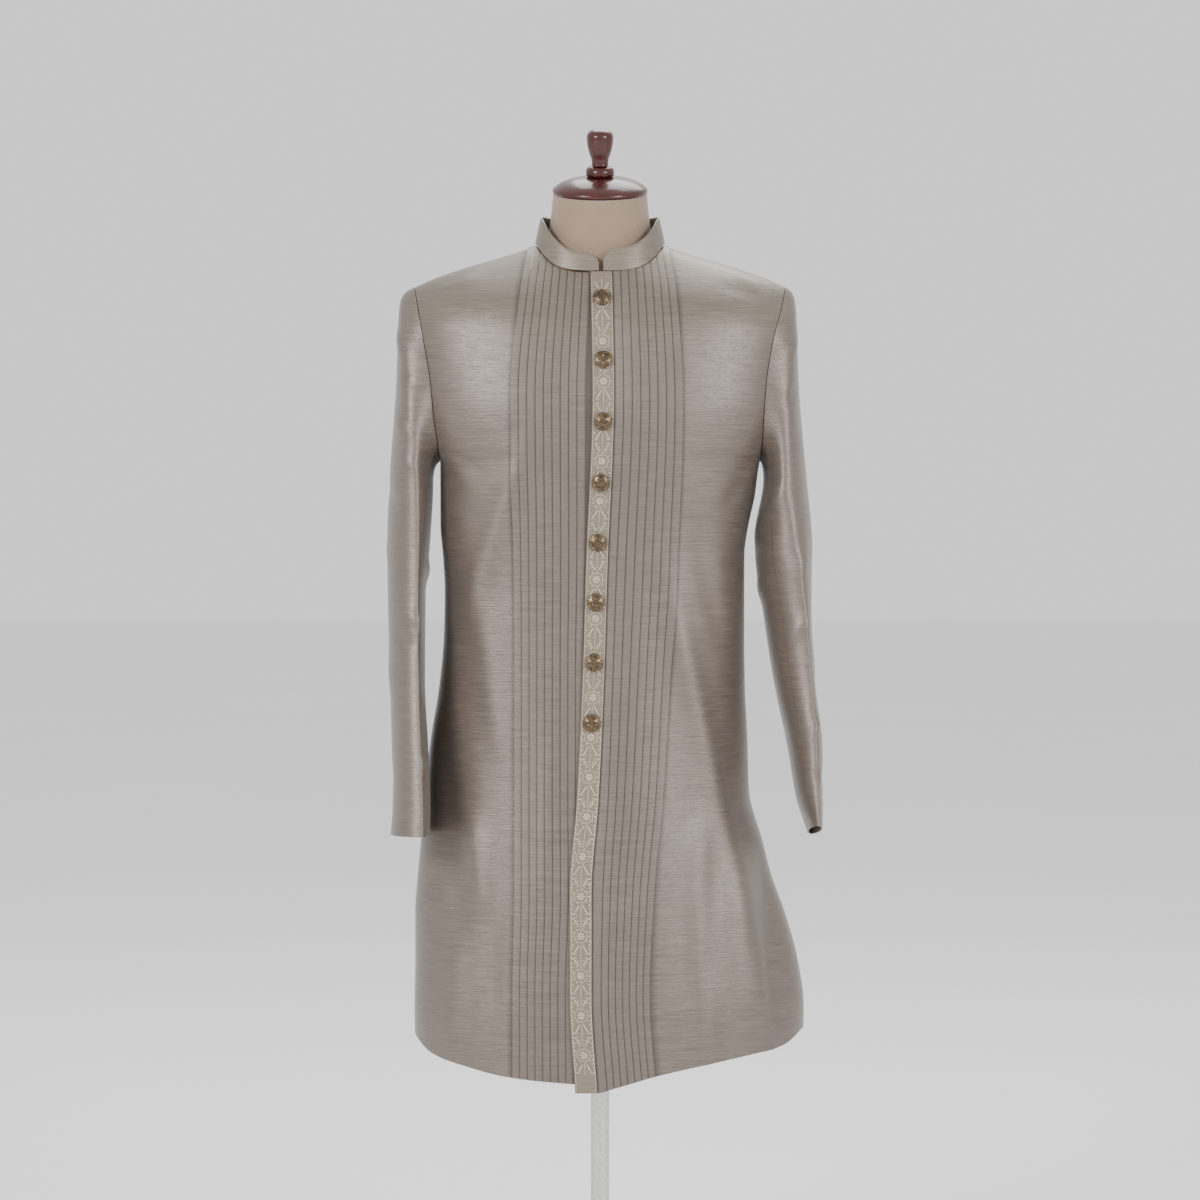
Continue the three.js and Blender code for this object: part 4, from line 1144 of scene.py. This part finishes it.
class SherwaniSizes(bpy.types.PropertyGroup):
    """Texture strength, needlework repeat and camera placing"""
    slub: bpy.props.FloatProperty(name="Slub", description="Strength of the weft lines",
        subtype="FACTOR", min=0, max=1, default=0.75)
    motif_pitch: bpy.props.FloatProperty(name="Motif repeat", description="Height of one needlework repeat",
        subtype="DISTANCE", unit="LENGTH", min=0.03, max=0.1, default=0.046)
    hand_error: bpy.props.FloatProperty(name="Hand error", description="How far stitches stray",
        subtype="DISTANCE", unit="LENGTH", min=0, max=0.001, default=0.0002)
    camera_distance: bpy.props.FloatProperty(name="Camera distance", description="From the coat's middle",
        subtype="DISTANCE", unit="LENGTH", min=1, max=20, default=5.0)
    camera_height: bpy.props.FloatProperty(name="Camera height", description="Above the floor",
        subtype="DISTANCE", unit="LENGTH", min=0, max=5, default=1.15)
    aim_height: bpy.props.FloatProperty(name="Aim height", description="Height that the camera looks at",
        subtype="DISTANCE", unit="LENGTH", min=0, max=3, default=0.887)
    lens: bpy.props.FloatProperty(name="Lens", description="Focal length of the camera",
        subtype="DISTANCE_CAMERA", min=20, max=300, default=126)


def silk_material(context):
    """The one silk that all the cloth pieces share."""
    made = bpy.data.materials.get("slubbed_silk")
    if made is None:
        colours, sizes = context.scene.sherwani_colours, context.scene.sherwani_sizes
        made = silk_finish("slubbed_silk", tuple(colours.silk), tuple(colours.shoulder), sizes.slub)
    return made


class SHERWANI_OT_form(bpy.types.Operator):
    """Build the dress form's knitted body"""
    bl_idname = "sherwani.form"
    bl_label = "Dress form"

    def execute(self, context):
        jersey = jersey_finish("form_jersey", tuple(context.scene.sherwani_colours.jersey))
        settle(make_form(jersey), "jersey", "form_torso")
        return {"FINISHED"}


class SHERWANI_OT_fronts(bpy.types.Operator):
    """Build the tucked under front and over front"""
    bl_idname = "sherwani.fronts"
    bl_label = "Fronts"

    def execute(self, context):
        silk = silk_material(context)
        right = settle(make_front_right(silk), "silk", "front_right")
        left = settle(make_front_left(silk), "silk", "front_left")
        return {"FINISHED"}


class SHERWANI_OT_back(bpy.types.Operator):
    """Build the whole back"""
    bl_idname = "sherwani.back"
    bl_label = "Back"

    def execute(self, context):
        back = settle(make_back(silk_material(context)), "silk", "back")
        return {"FINISHED"}


class SHERWANI_OT_sleeves(bpy.types.Operator):
    """Build the two-piece sleeves"""
    bl_idname = "sherwani.sleeves"
    bl_label = "Sleeves"

    def execute(self, context):
        for side in ("right", "left"):
            upper, under = make_sleeve(side, silk_material(context))
            settle(upper, "silk", f"sleeve_upper_{side}")
            settle(under, "silk", f"sleeve_under_{side}")
        return {"FINISHED"}


class SHERWANI_OT_collar(bpy.types.Operator):
    """Build the stand collar"""
    bl_idname = "sherwani.collar"
    bl_label = "Collar"

    def execute(self, context):
        collar = settle(make_collar(silk_material(context)), "silk", "collar")
        return {"FINISHED"}


class SHERWANI_OT_band(bpy.types.Operator):
    """Build the front band with its needlework and sequins"""
    bl_idname = "sherwani.band"
    bl_label = "Front band"

    def execute(self, context):
        colours, sizes = context.scene.sherwani_colours, context.scene.sherwani_sizes
        band = settle(make_band(ground_finish("band_ground", tuple(colours.ground))), "brocade", "front_band")
        thread = thread_finish("cream_thread", tuple(colours.thread))
        sequin = metal_finish("gold_sequin", tuple(colours.sequin), 0.28, 0.7)
        worked = make_needlework(thread, sequin, sizes.motif_pitch / MM, sizes.hand_error / MM)
        for piece in worked:
            settle(piece, "brocade", "front_band")
        return {"FINISHED"}


class SHERWANI_OT_buttons(bpy.types.Operator):
    """Build the eight cast buttons"""
    bl_idname = "sherwani.buttons"
    bl_label = "Buttons"

    def execute(self, context):
        bronze = metal_finish("antique_bronze", tuple(context.scene.sherwani_colours.button), 0.3, 0.35)
        for index in range(BUTTON_COUNT):
            settle(make_button(index, bronze), "bronze", f"button_{index + 1}")
        return {"FINISHED"}


class SHERWANI_OT_woodwork(bpy.types.Operator):
    """Build the neck cap, its ring and finial, and the stand"""
    bl_idname = "sherwani.woodwork"
    bl_label = "Cap and stand"

    def execute(self, context):
        colours = context.scene.sherwani_colours
        wood = wood_finish("polished_mahogany", tuple(colours.wood_dark), tuple(colours.wood_light))
        steel = metal_finish("brushed_post", tuple(colours.steel), 0.3, 0.8)
        for piece, node in make_neck_top(wood) + make_stand(wood, steel):
            settle(piece, "steel" if node == "stand_post" else "mahogany", node)
        return {"FINISHED"}


FLOOR_HALF = 15000.0
FLOOR_DEPTH = 20.0
FLOOR_DROP = 0.2
WORLD_COLOUR = (0.95, 0.95, 0.96, 1)
WORLD_STRENGTH = 1.15

# Soft lights: name, place and size in metres, power in watts.
LIGHTS = (
    ("key", (-2.3, -2.9, 2.3), 1.0, 125),
    ("fill", (2.5, -2.7, 2.0), 1.2, 95),
    ("top", (0.3, 1.6, 3.4), 1.8, 60),
)


class SHERWANI_OT_stage(bpy.types.Operator):
    """Set the floor, the soft lights and the camera"""
    bl_idname = "sherwani.stage"
    bl_label = "Stage"

    def execute(self, context):
        scene, sizes = context.scene, context.scene.sherwani_sizes
        half = FLOOR_HALF
        plan = ((-half, -half), (half, -half), (half, half), (-half, half))
        corners = [Vector((x, y, -FLOOR_DROP)) for x, y in plan]
        low = [corner - Vector((0, 0, FLOOR_DEPTH)) for corner in corners]
        faces = [(0, 1, 2, 3), (7, 6, 5, 4)] + [(k, 4 + k, 4 + (k + 1) % 4, (k + 1) % 4) for k in range(4)]
        floor = mesh_object("studio_floor", corners + low, faces,
                            floor_finish("pale_floor", tuple(scene.sherwani_colours.floor)), smooth=False)
        floor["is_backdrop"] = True
        world = bpy.data.worlds.new("studio")
        world.use_nodes = True
        sky = world.node_tree.nodes["Background"]
        sky.inputs["Color"].default_value = WORLD_COLOUR
        sky.inputs["Strength"].default_value = WORLD_STRENGTH
        scene.world = world
        aim = Vector((0, 0, sizes.aim_height))
        for name, place, size, power in LIGHTS:
            light = bpy.data.lights.new(name + "_light", "AREA")
            light.energy, light.size = power, size
            lamp = bpy.data.objects.new(name + "_light", light)
            lamp.location = place
            lamp.rotation_euler = (aim - Vector(place)).to_track_quat("-Z", "Y").to_euler()
            scene.collection.objects.link(lamp)
        view = bpy.data.cameras.new("front_camera")
        view.sensor_width, view.lens = 36, sizes.lens
        camera = bpy.data.objects.new("front_camera", view)
        camera.location = (0, -sizes.camera_distance, sizes.camera_height)
        camera.rotation_euler = (aim - camera.location).to_track_quat("-Z", "Y").to_euler()
        scene.collection.objects.link(camera)
        scene.camera = camera
        return {"FINISHED"}


OPERATORS = (SHERWANI_OT_stage, SHERWANI_OT_form, SHERWANI_OT_fronts, SHERWANI_OT_back, SHERWANI_OT_sleeves,
             SHERWANI_OT_collar, SHERWANI_OT_band, SHERWANI_OT_buttons, SHERWANI_OT_woodwork)


class SHERWANI_PT_panel(bpy.types.Panel):
    """Sizes, colours and steps of the coat"""
    bl_idname = "SHERWANI_PT_panel"
    bl_label = "Sherwani coat"
    bl_space_type = "VIEW_3D"
    bl_region_type = "UI"
    bl_category = "Sherwani"

    def draw(self, context):
        for group in (context.scene.sherwani_colours, context.scene.sherwani_sizes):
            box = self.layout.box()
            for name in group.__annotations__:
                box.prop(group, name)
        for operator in OPERATORS:
            self.layout.operator(operator.bl_idname)


CLASSES = (SherwaniColours, SherwaniSizes, *OPERATORS, SHERWANI_PT_panel)


def register():
    for made in CLASSES:
        bpy.utils.register_class(made)
    bpy.types.Scene.sherwani_colours = bpy.props.PointerProperty(type=SherwaniColours)
    bpy.types.Scene.sherwani_sizes = bpy.props.PointerProperty(type=SherwaniSizes)


def unregister():
    del bpy.types.Scene.sherwani_sizes
    del bpy.types.Scene.sherwani_colours
    for made in reversed(CLASSES):
        bpy.utils.unregister_class(made)


def plain(box):
    """A box as plain lists of numbers."""
    return [[float(value) for value in corner] for corner in box]


def main():
    """Builds every piece on its stage."""
    register()
    bpy.ops.sherwani.stage()
    bpy.ops.sherwani.form()
    bpy.ops.sherwani.fronts()
    bpy.ops.sherwani.back()
    bpy.ops.sherwani.sleeves()
    bpy.ops.sherwani.collar()
    bpy.ops.sherwani.band()
    bpy.ops.sherwani.buttons()
    bpy.ops.sherwani.woodwork()
    {"cad": plain(CAD_BOX), "visual": plain(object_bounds())}


if __name__ == "__main__":
    main()
